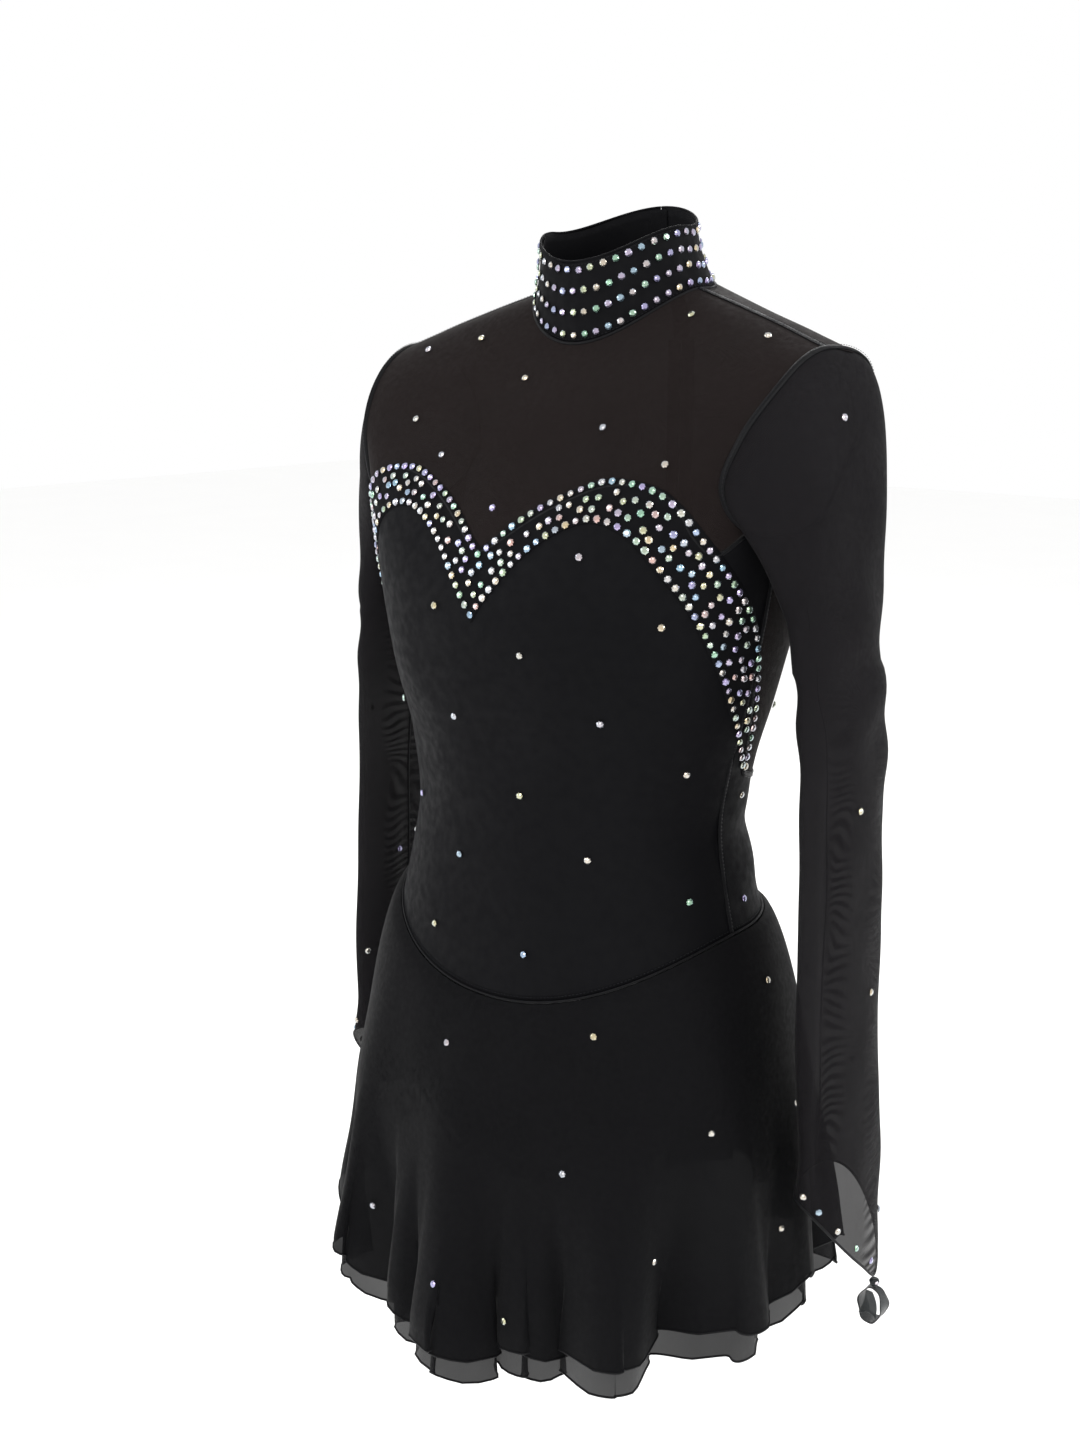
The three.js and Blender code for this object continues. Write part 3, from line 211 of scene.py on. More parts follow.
class WornShape:
    """The shape that the dress is cut to, as smooth loops from the neck down to the legs."""

    SEAM_PHI = 85.0
    ARMHOLE_LEVEL = 4.2
    ARMHOLE_HALF_LEVEL = 1.6
    ARMHOLE_FRONT = 34.0
    ARMHOLE_BACK = 36.0
    YOKE_END_PHI = 70.0
    SWEETHEART = ((0, 5.45), (10, 4.45), (20, 4.05), (35, 4.5), (44, 5.0), (52, 5.5), (62, 5.85), (70, 5.68))
    BACK_TOP = ((85, 7.5), (97, 9.1), (180, 9.1))

    def __init__(self, sizes: WornSizes) -> None:
        """Builds the loops.

        Args:
            sizes: The worn sizes.
        """
        s = sizes
        self.sizes = s
        self.centre_y = s.side_y_waist
        waist, hip, bust, crotch = -s.waist_drop, -s.hip_drop, -s.bust_drop, -s.crotch_drop
        rows = [
            (s.neck_half, s.side_y_neck, -s.neck_front, s.neck_back, 0, -35, 12, 2.0),
            (mix(s.neck_half, s.shoulder_half, 0.33), -2, -s.neck_front - 17, s.upper_back - 3,
             -0.3 * s.shoulder_drop, -52, -12, 2.1),
            (mix(s.neck_half, s.shoulder_half, 0.67), -8, -s.neck_front - 39, s.upper_back,
             -0.64 * s.shoulder_drop, -78, -40, 2.2),
            (s.shoulder_half - 6, -12, -s.neck_front - 57, s.upper_back, -s.shoulder_drop, -103, -75, 2.4),
            (s.shoulder_half, -14, 30 - s.bust_front, s.upper_back, -s.shoulder_drop - 22, -124, -105, 2.5),
            (mix(s.shoulder_half, s.chest_half, 0.45), -18, 14 - s.bust_front, s.upper_back, -108, -150,
             -138, 2.5),
            (s.chest_half + 6, -25, 3 - s.bust_front, s.upper_back, bust + 50, bust + 30, bust + 35, 2.4),
            (s.chest_half, s.side_y_chest, -s.bust_front, s.upper_back - 1, bust, bust, bust, 2.25),
            self._ring(mix(s.chest_half, s.waist_half, 0.36), -38, mix(-s.bust_front, -s.waist_front, 0.42),
                       mix(s.upper_back, s.waist_back, 0.45), mix(bust, waist, 0.37), 2.15),
            self._ring(mix(s.chest_half, s.waist_half, 0.8), -40, mix(-s.bust_front, -s.waist_front, 0.84),
                       mix(s.upper_back, s.waist_back, 0.85), mix(bust, waist, 0.7), 2.1),
            self._ring(s.waist_half, s.side_y_waist, -s.waist_front, s.waist_back, waist, 2.1),
            self._hip_ring(0.28, 0.28, 0.18, 0.26),
            self._hip_ring(0.67, 0.7, 0.48, 0.49),
            self._hip_ring(0.92, 0.93, 0.78, 0.74),
            self._ring(s.hip_half, s.side_y_waist, -s.hip_front, s.hip_back, hip, 2.1),
            self._ring(s.hip_half - 6, s.side_y_waist, 7 - s.hip_front, s.hip_back - 2,
                       mix(hip, crotch, 0.32), 2.1),
            self._ring(s.hip_half - 24, s.side_y_waist, 22 - s.hip_front, s.hip_back - 14,
                       mix(hip, crotch, 0.64), 2.1),
            self._ring(s.hip_half - 66, s.side_y_waist, 60 - s.hip_front, s.hip_back - 46,
                       mix(hip, crotch, 0.94), 2.0),
        ]
        self.loops = np.array(rows, float)

    @staticmethod
    def _ring(half: float, side_y: float, front_y: float, back_y: float, z: float,
              squareness: float) -> tuple:
        """A level loop."""
        return (half, side_y, front_y, back_y, z, z, z, squareness)

    def _hip_ring(self, wide: float, front: float, back: float, down: float) -> tuple:
        """A level loop between the waist and the hips, by its shares of the way."""
        s = self.sizes
        return self._ring(mix(s.waist_half, s.hip_half, wide), s.side_y_waist,
                          mix(-s.waist_front, -s.hip_front, front),
                          mix(s.waist_back, s.hip_back, back), mix(-s.waist_drop, -s.hip_drop, down), 2.1)

    def loop(self, v: Array) -> Array:
        """The loop sizes at a level.

        Args:
            v: Levels, counted in loops down from the neck.

        Returns:
            Eight sizes for each level.
        """
        last = len(self.loops) - 1
        v = np.clip(np.asarray(v, float), 0, last)
        k = np.minimum(np.floor(v).astype(int), last - 1)
        t = (v - k)[..., None]
        a, b, d, e = (self.loops[np.clip(k + i, 0, last)] for i in (-1, 0, 1, 2))
        return bend_through(a, b, d, e, t)

    @staticmethod
    def on_loop(loop: Array, phi: Array) -> Array:
        """Points of loops: 0 degrees is the centre front, 90 the wearer's left, 180 the back.

        Args:
            loop: Loop sizes, eight to a point.
            phi: Angles in degrees.

        Returns:
            The points, in mm.
        """
        half, side_y, front_y, back_y, side_z, front_z, back_z, square = np.moveaxis(loop, -1, 0)
        s, c = np.sin(np.radians(phi)), np.cos(np.radians(phi))
        power = 2 / square
        reach = np.where(c > 0, front_y, back_y) - side_y
        rise = np.where(c > 0, front_z, back_z) - side_z
        x = half * np.sign(s) * np.abs(s) ** power
        return np.stack([x, side_y + reach * np.abs(c) ** power, side_z + rise * c * c], axis=-1)

    def point(self, phi: Array, v: Array) -> Array:
        """Points of the worn surface at angles phi and levels v."""
        phi, v = np.broadcast_arrays(np.asarray(phi, float), np.asarray(v, float))
        return self.on_loop(self.loop(v), phi)

    def stance(self, phi: float, v: float) -> tuple[Array, Array]:
        """A point of the worn surface and the way out from it."""
        step = 0.05
        point = self.point(phi, v)
        across = self.point(phi + step, v) - self.point(phi - step, v)
        down = self.point(phi, v + step) - self.point(phi, v - step)
        return point, unit(np.cross(down, across))

    def stances(self, phi: Array, v: Array) -> tuple[Array, Array]:
        """Points of the worn surface and the ways out from them."""
        pairs = [self.stance(float(a), float(b)) for a, b in zip(phi, v)]
        return np.array([point for point, _ in pairs]), np.array([out for _, out in pairs])

    def waist_seam(self, phi: Array) -> Array:
        """The level of the waist seam, which dips at the front."""
        frontness = np.maximum(np.cos(np.radians(phi)), 0)
        return 11.55 + 1.15 * frontness**2

    def armhole(self, front: bool, t: Array, room: float = 1.0) -> tuple[Array, Array]:
        """The armhole edge, for t from 0 at the shoulder to 1 under the arm.

        Args:
            front: Whether the front half is meant.
            t: Shares of the way down.
            room: How much wider than the sleeve seam the line runs.

        Returns:
            Angles and levels.
        """
        reach = room * (-self.ARMHOLE_FRONT if front else self.ARMHOLE_BACK)
        drop = room * self.ARMHOLE_HALF_LEVEL
        return self.SEAM_PHI + reach * np.sin(np.pi * t), self.ARMHOLE_LEVEL - drop * np.cos(np.pi * t)

    def bodice_top(self, phi: Array) -> Array:
        """The level of the opaque bodice's top edge."""
        turn = np.abs(phi)
        across = (self.SEAM_PHI - turn) / self.ARMHOLE_FRONT
        under = self.ARMHOLE_LEVEL + self.ARMHOLE_HALF_LEVEL * np.sqrt(np.maximum(1 - across**2, 0))
        meeting = self.SWEETHEART[-1][1]
        near = mix(meeting, under, np.clip((turn - self.YOKE_END_PHI) / 4, 0, 1))
        front = np.where(turn <= self.YOKE_END_PHI, line_through(self.SWEETHEART, turn), near)
        return np.where(turn > self.SEAM_PHI, line_through(self.BACK_TOP, turn), front)


# ---- meshes ----


def grid_normals(points: Array, wraps: bool, around: Sequence[float]) -> Array:
    """Outward directions of a grid of points.

    Args:
        points: Rows of points.
        wraps: Whether each row closes on itself.
        around: The x and y of the upright axis that the grid stands round.

    Returns:
        A unit direction for each point.
    """
    if wraps:
        across = np.roll(points, -1, axis=1) - np.roll(points, 1, axis=1)
    else:
        across = np.gradient(points, axis=1)
    down = np.gradient(points, axis=0)
    normals = unit(np.cross(down, across))
    away = points[..., :2] - np.asarray(around, float)
    if float(np.sum(normals[..., :2] * away)) < 0:
        normals = -normals
    return normals


def new_object(name: str, points: Array, faces: list, smooth_faces: bool = True) -> bpy.types.Object:
    """Makes a mesh object.

    Args:
        name: The piece's name.
        points: Its points, in mm.
        faces: Its faces, as lists of point numbers.
        smooth_faces: Whether it is shaded smooth.

    Returns:
        The new object.
    """
    mesh = bpy.data.meshes.new(name)
    mesh.from_pydata((np.asarray(points, float).reshape(-1, 3) * MM).tolist(), [], faces)
    if smooth_faces:
        mesh.shade_smooth()
    mesh.update()
    made = bpy.data.objects.new(name, mesh)
    bpy.context.scene.collection.objects.link(made)
    return made


def map_cloth(obj: bpy.types.Object, where: Array) -> None:
    """Gives a mesh a cloth map in metres, so that threads come out at their real size.

    Args:
        obj: The piece.
        where: The cloth coordinates of each point, in mm.
    """
    layer = obj.data.uv_layers.new(name=CLOTH_MAP)
    numbers = np.empty(len(obj.data.loops), dtype=np.int32)
    obj.data.loops.foreach_get("vertex_index", numbers)
    layer.data.foreach_set("uv", (where[numbers] * MM).astype(np.float32).ravel())


def make_cloth(
    name: str,
    surface: Surface,
    columns: int,
    rows: int,
    wraps: bool = False,
    offset: float = 0.0,
    lift: Optional[Callable[[Array, Array, Array], Array]] = None,
    around: Sequence[float] = (0.0, -35.0),
    thick: float = 0.0,
) -> bpy.types.Object:
    """Makes a piece of cloth from a surface.

    Args:
        name: The piece's name.
        surface: The surface over u and w, in mm.
        columns: Steps along u.
        rows: Steps along w.
        wraps: Whether u closes on itself.
        offset: How far outside the surface the cloth lies, in mm.
        lift: Extra height off the surface at u, w and each point.
        around: The upright axis that the cloth stands round.
        thick: The cloth's thickness in mm, or 0 for a sheer single layer.

    Returns:
        The new object.
    """
    u = np.linspace(0, 1, columns + 1)[: columns if wraps else columns + 1]
    uu, ww = np.meshgrid(u, np.linspace(0, 1, rows + 1))
    points = surface(uu, ww)
    normals = grid_normals(points, wraps, around)
    height = np.full(uu.shape, float(offset))
    if lift is not None:
        height = height + lift(uu, ww, points)
    points = points + normals * height[..., None]
    count = len(u)
    inside = float(np.sum(np.cross(np.gradient(points, axis=0), np.gradient(points, axis=1)) * normals)) < 0
    faces = []
    for j in range(rows):
        for i in range(columns):
            a, b = j * count + i, j * count + (i + 1) % count
            quad = (a, a + count, b + count, b)
            faces.append(quad[::-1] if inside else quad)
    made = new_object(name, points, faces)
    grid = np.meshgrid(run_length(points[rows // 2]), run_length(points[:, count // 3]))
    map_cloth(made, np.stack(grid, axis=-1).reshape(-1, 2))
    if thick:
        solid = made.modifiers.new("thickness", "SOLIDIFY")
        solid.thickness = thick * MM
        solid.offset = -1.0
    return made


def make_cord(name: str, path: Array, radius: float, sides: int = 8, closed: bool = True, flat: float = 1.0,
              ends: float = 1.0) -> bpy.types.Object:
    """Makes a cord of round or flattened section along a path.

    Args:
        name: The piece's name.
        path: The points that it follows, in mm.
        radius: Its half width, in mm.
        sides: The number of its sides.
        closed: Whether the path closes on itself.
        flat: The section's height as a share of its width.
        ends: The radius at open ends as a share of the middle's.

    Returns:
        The new object.
    """
    path = np.asarray(path, float)
    count = len(path)
    if closed:
        tangents = unit(np.roll(path, -1, axis=0) - np.roll(path, 1, axis=0))
    else:
        tangents = unit(np.gradient(path, axis=0))
    first = np.cross(tangents[0], (0.31, 0.22, 0.92))
    normals = [unit(first)]
    for tangent in tangents[1:]:
        normals.append(unit(normals[-1] - tangent * float(normals[-1] @ tangent)))
    normals = np.array(normals)
    sidelong = np.cross(tangents, normals)
    if closed:
        carried = unit(normals[-1] - tangents[0] * float(normals[-1] @ tangents[0]))
        twist = math.atan2(float(carried @ sidelong[0]), float(carried @ normals[0]))
        turns = -twist * np.arange(count) / count
        normals, sidelong = (
            normals * np.cos(turns)[:, None] + sidelong * np.sin(turns)[:, None],
            sidelong * np.cos(turns)[:, None] - normals * np.sin(turns)[:, None],
        )
    widths = np.full(count, float(radius))
    if not closed:
        place = np.linspace(0, 1, count)
        widths = radius * mix(ends, 1.0, np.clip(np.minimum(place, 1 - place) * 8, 0, 1))
    angles = np.linspace(0, 2 * math.pi, sides, endpoint=False)
    level, upright = np.cos(angles)[None, :, None], flat * np.sin(angles)[None, :, None]
    ring = level * normals[:, None] + upright * sidelong[:, None]
    points = path[:, None] + ring * widths[:, None, None]
    faces = []
    for i in range(count if closed else count - 1):
        for k in range(sides):
            a, b = i * sides + k, i * sides + (k + 1) % sides
            step = ((i + 1) % count) * sides - i * sides
            faces.append((a, b, b + step, a + step))
    if not closed:
        faces.append(tuple(range(sides))[::-1])
        faces.append(tuple((count - 1) * sides + k for k in range(sides)))
    made = new_object(name, points, faces)
    girth = np.linspace(0, 2 * math.pi * radius, sides)
    map_cloth(made, np.stack(np.meshgrid(girth, run_length(path)), axis=-1).reshape(-1, 2))
    return made


def even_path(path: Array, pitch: float, closed: bool = False) -> Array:
    """The path again, with its points a pitch apart.

    Args:
        path: The path's points.
        pitch: The wanted distance, in mm.
        closed: Whether the path closes on itself.

    Returns:
        The evenly spaced points.
    """
    path = np.asarray(path, float)
    if closed:
        path = np.concatenate([path, path[:1]])
    far = run_length(path)
    count = max(int(round(far[-1] / pitch)), 2)
    at = np.linspace(0, far[-1], count + 1)
    if closed:
        at = at[:-1]
    return np.stack([np.interp(at, far, path[:, c]) for c in range(3)], axis=-1)


class CopyRun:
    """Many small copies of one shape, gathered into a single mesh."""

    def __init__(self, points: Array, faces: list) -> None:
        """Keeps the shape that is copied.

        Args:
            points: Its points, with z away from the cloth.
            faces: Its faces.
        """
        self.shape = np.asarray(points, float)
        self.faces = faces
        self.points: list[Array] = []

    def place(self, at: Array, out: Array, along: Array, scale: float = 1.0) -> None:
        """Adds a copy.

        Args:
            at: Where it sits, in mm.
            out: The way away from the cloth.
            along: The way that its x runs, roughly.
            scale: Its size.
        """
        z = unit(np.asarray(out, float))
        x = unit(np.asarray(along, float) - z * float(np.dot(along, z)))
        y = np.cross(z, x)
        turned = self.shape @ np.stack([x, y, z])
        self.points.append(np.asarray(at, float) + turned * scale)

    def make(self, name: str, smooth_faces: bool) -> bpy.types.Object:
        """Makes the object.

        Args:
            name: The piece's name.
            smooth_faces: Whether it is shaded smooth.

        Returns:
            The new object.
        """
        size = len(self.shape)
        faces = [tuple(k + size * i for k in face) for i in range(len(self.points)) for face in self.faces]
        made = new_object(name, np.concatenate(self.points), faces, smooth_faces)
        where = np.concatenate(self.points)
        map_cloth(made, where[:, [0, 2]])
        return made


def stone_run(radius: float) -> CopyRun:
    """A flat-backed crystal: a table, two rings of facets and a thin girdle.

    Args:
        radius: Its radius, in mm.

    Returns:
        A run of such stones with none placed yet.
    """
    facets = 8
    turn = np.arange(facets) * 2 * math.pi / facets
    half = math.pi / facets
    rings = [(0.50, 0.62, 0.0), (0.82, 0.40, half), (1.0, 0.14, 0.0), (0.97, 0.0, 0.0)]
    points = [np.stack([r * np.cos(turn + a), r * np.sin(turn + a), np.full(facets, h)], axis=-1) for r, h,
              a in rings]
    faces: list = [tuple(range(facets))]
    for k in range(facets):
        n = (k + 1) % facets
        faces += [(k, facets + k, n), (n, facets + k, facets + n)]
        faces += [(facets + k, 2 * facets + k, 2 * facets + n)[:3], (facets + k, 2 * facets + n, facets + n)]
        faces += [(2 * facets + k, 3 * facets + k, 3 * facets + n, 2 * facets + n)]
    faces.append(tuple(3 * facets + k for k in range(facets))[::-1])
    return CopyRun(np.concatenate(points) * radius, faces)


def stitch_run(length: float, width: float) -> CopyRun:
    """One sewn stitch: a low spindle of thread.

    Args:
        length: Its length, in mm.
        width: Its width, in mm.

    Returns:
        A run of such stitches with none placed yet.
    """
    x, y, h = length / 2, width / 2, width * 0.55
    points = [(-x, 0, 0), (-x * 0.5, -y, 0), (-x * 0.5, 0, h), (-x * 0.5, y, 0),
              (x * 0.5, -y, 0), (x * 0.5, 0, h), (x * 0.5, y, 0), (x, 0, 0)]
    faces = [(0, 1, 2), (0, 2, 3), (1, 4, 5, 2), (2, 5, 6, 3), (4, 7, 5), (5, 7, 6), (0, 3, 1), (1, 3, 6, 4),
             (4, 6, 7)]
    return CopyRun(np.array(points, float), faces)


# ---- finishes ----


class NodeHand:
    """Wires up one material."""

    def __init__(self, name: str) -> None:
        """Starts a material with a principled shader.

        Args:
            name: The material's name.
        """
        self.material = bpy.data.materials.new(name)
        self.material.use_nodes = True
        self.tree = self.material.node_tree
        self.shader = next(n for n in self.tree.nodes if n.type == "BSDF_PRINCIPLED")

    def node(self, kind: str, inputs: Optional[dict] = None, **settings: object) -> bpy.types.Node:
        """Adds a node.

        Args:
            kind: The node's type.
            inputs: Values or sockets for its inputs, by name or number.
            **settings: Its properties.

        Returns:
            The node.
        """
        made = self.tree.nodes.new(kind)
        for key, value in settings.items():
            setattr(made, key, value)
        for key, value in (inputs or {}).items():
            self._plug(made.inputs[key], value)
        return made

    def _plug(self, socket: bpy.types.NodeSocket, value: object) -> None:
        """Links a socket to another, or sets it to a value."""
        if isinstance(value, bpy.types.NodeSocket):
            self.tree.links.new(value, socket)
        else:
            socket.default_value = value

    def math(self, operation: str, a: object, b: object = 0.0) -> bpy.types.NodeSocket:
        """A sum of one or two values."""
        return self.node("ShaderNodeMath", {0: a, 1: b}, operation=operation).outputs[0]

    def between(self, share: object, low: float, high: float, from_low: float = 0.0,
                from_high: float = 1.0) -> bpy.types.NodeSocket:
        """A value taken from one range to another."""
        inputs = {"Value": share, "From Min": from_low, "From Max": from_high, "To Min": low, "To Max": high}
        return self.node("ShaderNodeMapRange", inputs).outputs[0]

    def blend(self, share: object, a: object, b: object) -> bpy.types.NodeSocket:
        """A colour between two colours."""
        made = self.node("ShaderNodeMix", data_type="RGBA")
        for number, value in ((0, share), (6, a), (7, b)):
            self._plug(made.inputs[number], value)
        return made.outputs[2]

    def noise(self, scale: float, detail: float = 2.0) -> bpy.types.NodeSocket:
        """Soft patches over the piece, scale to the metre."""
        where = self.node("ShaderNodeTexCoord").outputs["Object"]
        return self.node("ShaderNodeTexNoise", {"Vector": where, "Scale": scale, "Detail": detail}).outputs[0]

    def threads(self, weave: Weave, pitch: float) -> bpy.types.NodeSocket:
        """The height of a cloth's threads, from 0 to 1.

        Args:
            weave: How the threads lie.
            pitch: The distance between them, in mm.

        Returns:
            The socket with the height.
        """
        where = self.node("ShaderNodeUVMap", uv_map=CLOTH_MAP).outputs[0]
        split = self.node("ShaderNodeSeparateXYZ", {0: where})
        turn = 2 * math.pi / (pitch * MM)
        x = self.math("MULTIPLY", split.outputs[0], turn)
        y = self.math("MULTIPLY", split.outputs[1], turn)
        if weave is Weave.KNIT:
            bend = self.math("ABSOLUTE", self.math("SINE", self.math("MULTIPLY", x, 0.5)))
            loops = self.math("SINE", self.math("ADD", y, self.math("MULTIPLY", bend, 2.6)))
            ribs = self.math("MULTIPLY", loops, self.math("ADD", bend, 0.35))
            return self.between(ribs, 0.0, 1.0, -1.35, 1.35)
        if weave is Weave.MESH:
            holes = self.math("MULTIPLY", self.math("SINE", x), self.math("SINE", y))
            return self.between(self.math("ABSOLUTE", holes), 1.0, 0.0)
        if weave is Weave.TWILL:
            return self.between(self.math("SINE", self.math("ADD", x, y)), 0.0, 1.0, -1.0, 1.0)
        over = self.math("MULTIPLY", self.math("SINE", x), self.math("SINE", y))
        return self.between(over, 0.0, 1.0, -1.0, 1.0)

    def bump(self, height: object, strength: float, distance: float) -> None:
        """Raises the surface by a height, with the full height at distance mm."""
        inputs = {"Height": height, "Strength": strength, "Distance": distance * MM}
        made = self.node("ShaderNodeBump", inputs)
        self.feed("Normal", made.outputs[0])

    def feed(self, socket: str, value: object) -> None:
        """Links or sets a socket of the shader."""
        self._plug(self.shader.inputs[socket], value)


Colour = tuple[float, float, float]


def rgba(colour: Colour, share: float = 1.0) -> tuple[float, float, float, float]:
    """A colour with its fourth number, scaled by a share."""
    return (colour[0] * share, colour[1] * share, colour[2] * share, 1.0)


@dataclass(frozen=True)
class ClothFinish:
    """An opaque dyed cloth, its raised threads painted lighter as a painted highlight."""

    name: str
    colour: Colour
    weave: Weave = Weave.KNIT
    pitch: float = 0.55
    rough: float = 0.62
    sheen: float = 0.012
    ior: float = 1.13
    patches: float = 9.0
    relief: float = 0.25

    def material(self) -> bpy.types.Material:
        """Builds the material."""
        hand = NodeHand(self.name)
        threads = hand.threads(self.weave, self.pitch)
        patches = hand.noise(self.patches, 4.0)
        rubbed = hand.noise(140.0, 3.0)
        dyed = hand.blend(patches, rgba(self.colour, 0.65), rgba(self.colour, 1.45))
        # Raised threads painted lighter than the hollows between them: a painted highlight on the thread
        # crowns.
        shaded = hand.blend(hand.between(threads, 0.0, 0.35), dyed, rgba(self.colour, 2.4))
        hand.feed("Base Color", shaded)
        hand.feed("Roughness", hand.between(rubbed, self.rough - 0.1, self.rough + 0.12, 0.3, 0.7))
        hand.feed("Sheen Weight", self.sheen)
        hand.feed("Sheen Roughness", 0.45)
        hand.feed("Sheen Tint", (0.62, 0.64, 0.7, 1.0))
        hand.feed("IOR", self.ior)
        uneven = hand.math("ADD", hand.math("MULTIPLY", threads, 0.7), hand.math("MULTIPLY", rubbed, 0.3))
        hand.bump(uneven, self.relief, 0.18)
        return hand.material


@dataclass(frozen=True)
class SheerFinish:
    """A sheer dyed cloth that shows what is behind it between its threads."""

    name: str
    colour: Colour
    weave: Weave
    pitch: float
    cover: float
    contrast: float = 0.12
    rough: float = 0.72
    sheen: float = 0.015
    ior: float = 1.12
    ripple: float = 0.0
    ripple_pitch: float = 0.0078
    upper_cover: float = 0.0

    def material(self) -> bpy.types.Material:
        """Builds the material."""
        hand = NodeHand(self.name)
        threads = hand.threads(self.weave, self.pitch)
        patches = hand.noise(7.0, 3.0)
        fine = hand.noise(260.0, 2.0)
        low, high = self.cover - self.contrast, min(self.cover + self.contrast, 1.0)
        cover = hand.between(threads, low, high)
        cover = hand.math("ADD", cover, hand.between(patches, -0.025, 0.025, 0.3, 0.7))
        if self.upper_cover:
            height = hand.node("ShaderNodeSeparateXYZ",
                               {0: hand.node("ShaderNodeTexCoord").outputs["Object"]})
            upper = hand.between(height.outputs[2], 0.0, self.upper_cover, -0.30, -0.20)
            cover = hand.math("ADD", cover, upper)
        if self.ripple:
            cover = hand.math("SUBTRACT", cover, hand.math("MULTIPLY", self._watering(hand), self.ripple))
        hand.feed("Alpha", hand.node("ShaderNodeClamp", {0: cover}).outputs[0])
        hand.feed("Base Color", hand.blend(patches, rgba(self.colour, 0.7), rgba(self.colour, 1.35)))
        hand.feed("Roughness", hand.between(fine, self.rough - 0.08, self.rough + 0.1, 0.3, 0.7))
        hand.feed("Sheen Weight", self.sheen)
        hand.feed("Sheen Roughness", 0.4)
        hand.feed("IOR", self.ior)
        hand.bump(hand.math("ADD", hand.math("MULTIPLY", threads, 0.6), hand.math("MULTIPLY", fine, 0.4)),
                  0.18, 0.12)
        return hand.material

    def _watering(self, hand: NodeHand) -> bpy.types.NodeSocket:
        """The watered ripple where two layers of mesh lie over each other, in a band down the cloth.

        Args:
            hand: The material's hand.

        Returns:
            A socket from 0 to 1.
        """
        where = hand.node("ShaderNodeTexCoord").outputs["Object"]
        split = hand.node("ShaderNodeSeparateXYZ", {0: where})
        wander = hand.node("ShaderNodeTexNoise", {"Vector": where, "Scale": 16.0, "Detail": 1.0}).outputs[0]
        tilt = hand.math("MULTIPLY", hand.math("SUBTRACT", wander, 0.5), 46.0)
        down = hand.math("MULTIPLY", split.outputs[2], 2 * math.pi / self.ripple_pitch)
        rows = hand.math("SINE", hand.math("ADD", down, tilt))
        middle = hand.math("MULTIPLY", hand.math("SUBTRACT", wander, 0.5), 0.03)
        off = hand.math("ABSOLUTE", hand.math("ADD", hand.math("ADD", split.outputs[1], 0.006), middle))
        band = hand.between(off, 1.0, 0.0, 0.004, 0.017)
        low = hand.between(split.outputs[2], 0.0, 1.0, -0.22, -0.34)
        return hand.math("MULTIPLY", hand.math("MULTIPLY", rows, band), low)


@dataclass(frozen=True)
class CrystalFinish:
    """A foiled crystal with an iridescent coat."""

    name: str = "iridescent crystal"

    def material(self) -> bpy.types.Material:
        """Builds the material."""
        hand = NodeHand(self.name)
        each = hand.node("ShaderNodeNewGeometry").outputs["Random Per Island"]
        ramp = hand.node("ShaderNodeValToRGB", {0: each})
        tints = [(0.0, (0.44, 0.46, 0.50)), (0.2, (0.60, 0.48, 0.27)), (0.38, (0.24, 0.48, 0.32)),
                 (0.54, (0.52, 0.48, 0.42)), (0.7, (0.36, 0.29, 0.52)), (0.84, (0.24, 0.42, 0.52)),
                 (1.0, (0.58, 0.36, 0.30))]
        stops = ramp.color_ramp.elements
        while len(stops) < len(tints):
            stops.new(0.5)
        for stop, (place, tint) in zip(stops, tints):
            stop.position = place
            stop.color = rgba(tint)
        facing = hand.node("ShaderNodeLayerWeight", {"Blend": 0.35}).outputs["Facing"]
        fire = hand.blend(facing, ramp.outputs[0], (0.20, 0.26, 0.42, 1.0))
        hand.feed("Base Color", fire)
        hand.feed("Metallic", 0.82)
        hand.feed("Roughness", hand.between(hand.noise(900.0), 0.05, 0.16, 0.3, 0.7))
        hand.feed("Coat Weight", 1.0)
        hand.feed("Coat Roughness", 0.03)
        hand.feed("Thin Film Thickness", 420.0)
        hand.feed("Thin Film IOR", 1.8)
        return hand.material


@dataclass(frozen=True)
class HardFinish:
    """Enamelled metal or moulded nylon, rubbed a little on its edges."""

    name: str
    colour: Colour
    metal: float
    rough: float

    def material(self) -> bpy.types.Material:
        """Builds the material."""
        hand = NodeHand(self.name)
        grain = hand.noise(420.0, 5.0)
        rubbed = hand.node("ShaderNodeNewGeometry").outputs["Pointiness"]
        worn = hand.between(rubbed, 0.0, 1.0, 0.52, 0.6)
        base = hand.blend(grain, rgba(self.colour, 0.8), rgba(self.colour, 1.3))
        hand.feed("Base Color", hand.blend(worn, base, rgba(self.colour, 5.0)))
        hand.feed("Metallic", self.metal)
        hand.feed("Roughness", hand.between(grain, self.rough - 0.06, self.rough + 0.12, 0.3, 0.7))
        hand.bump(grain, 0.06, 0.05)
        return hand.material


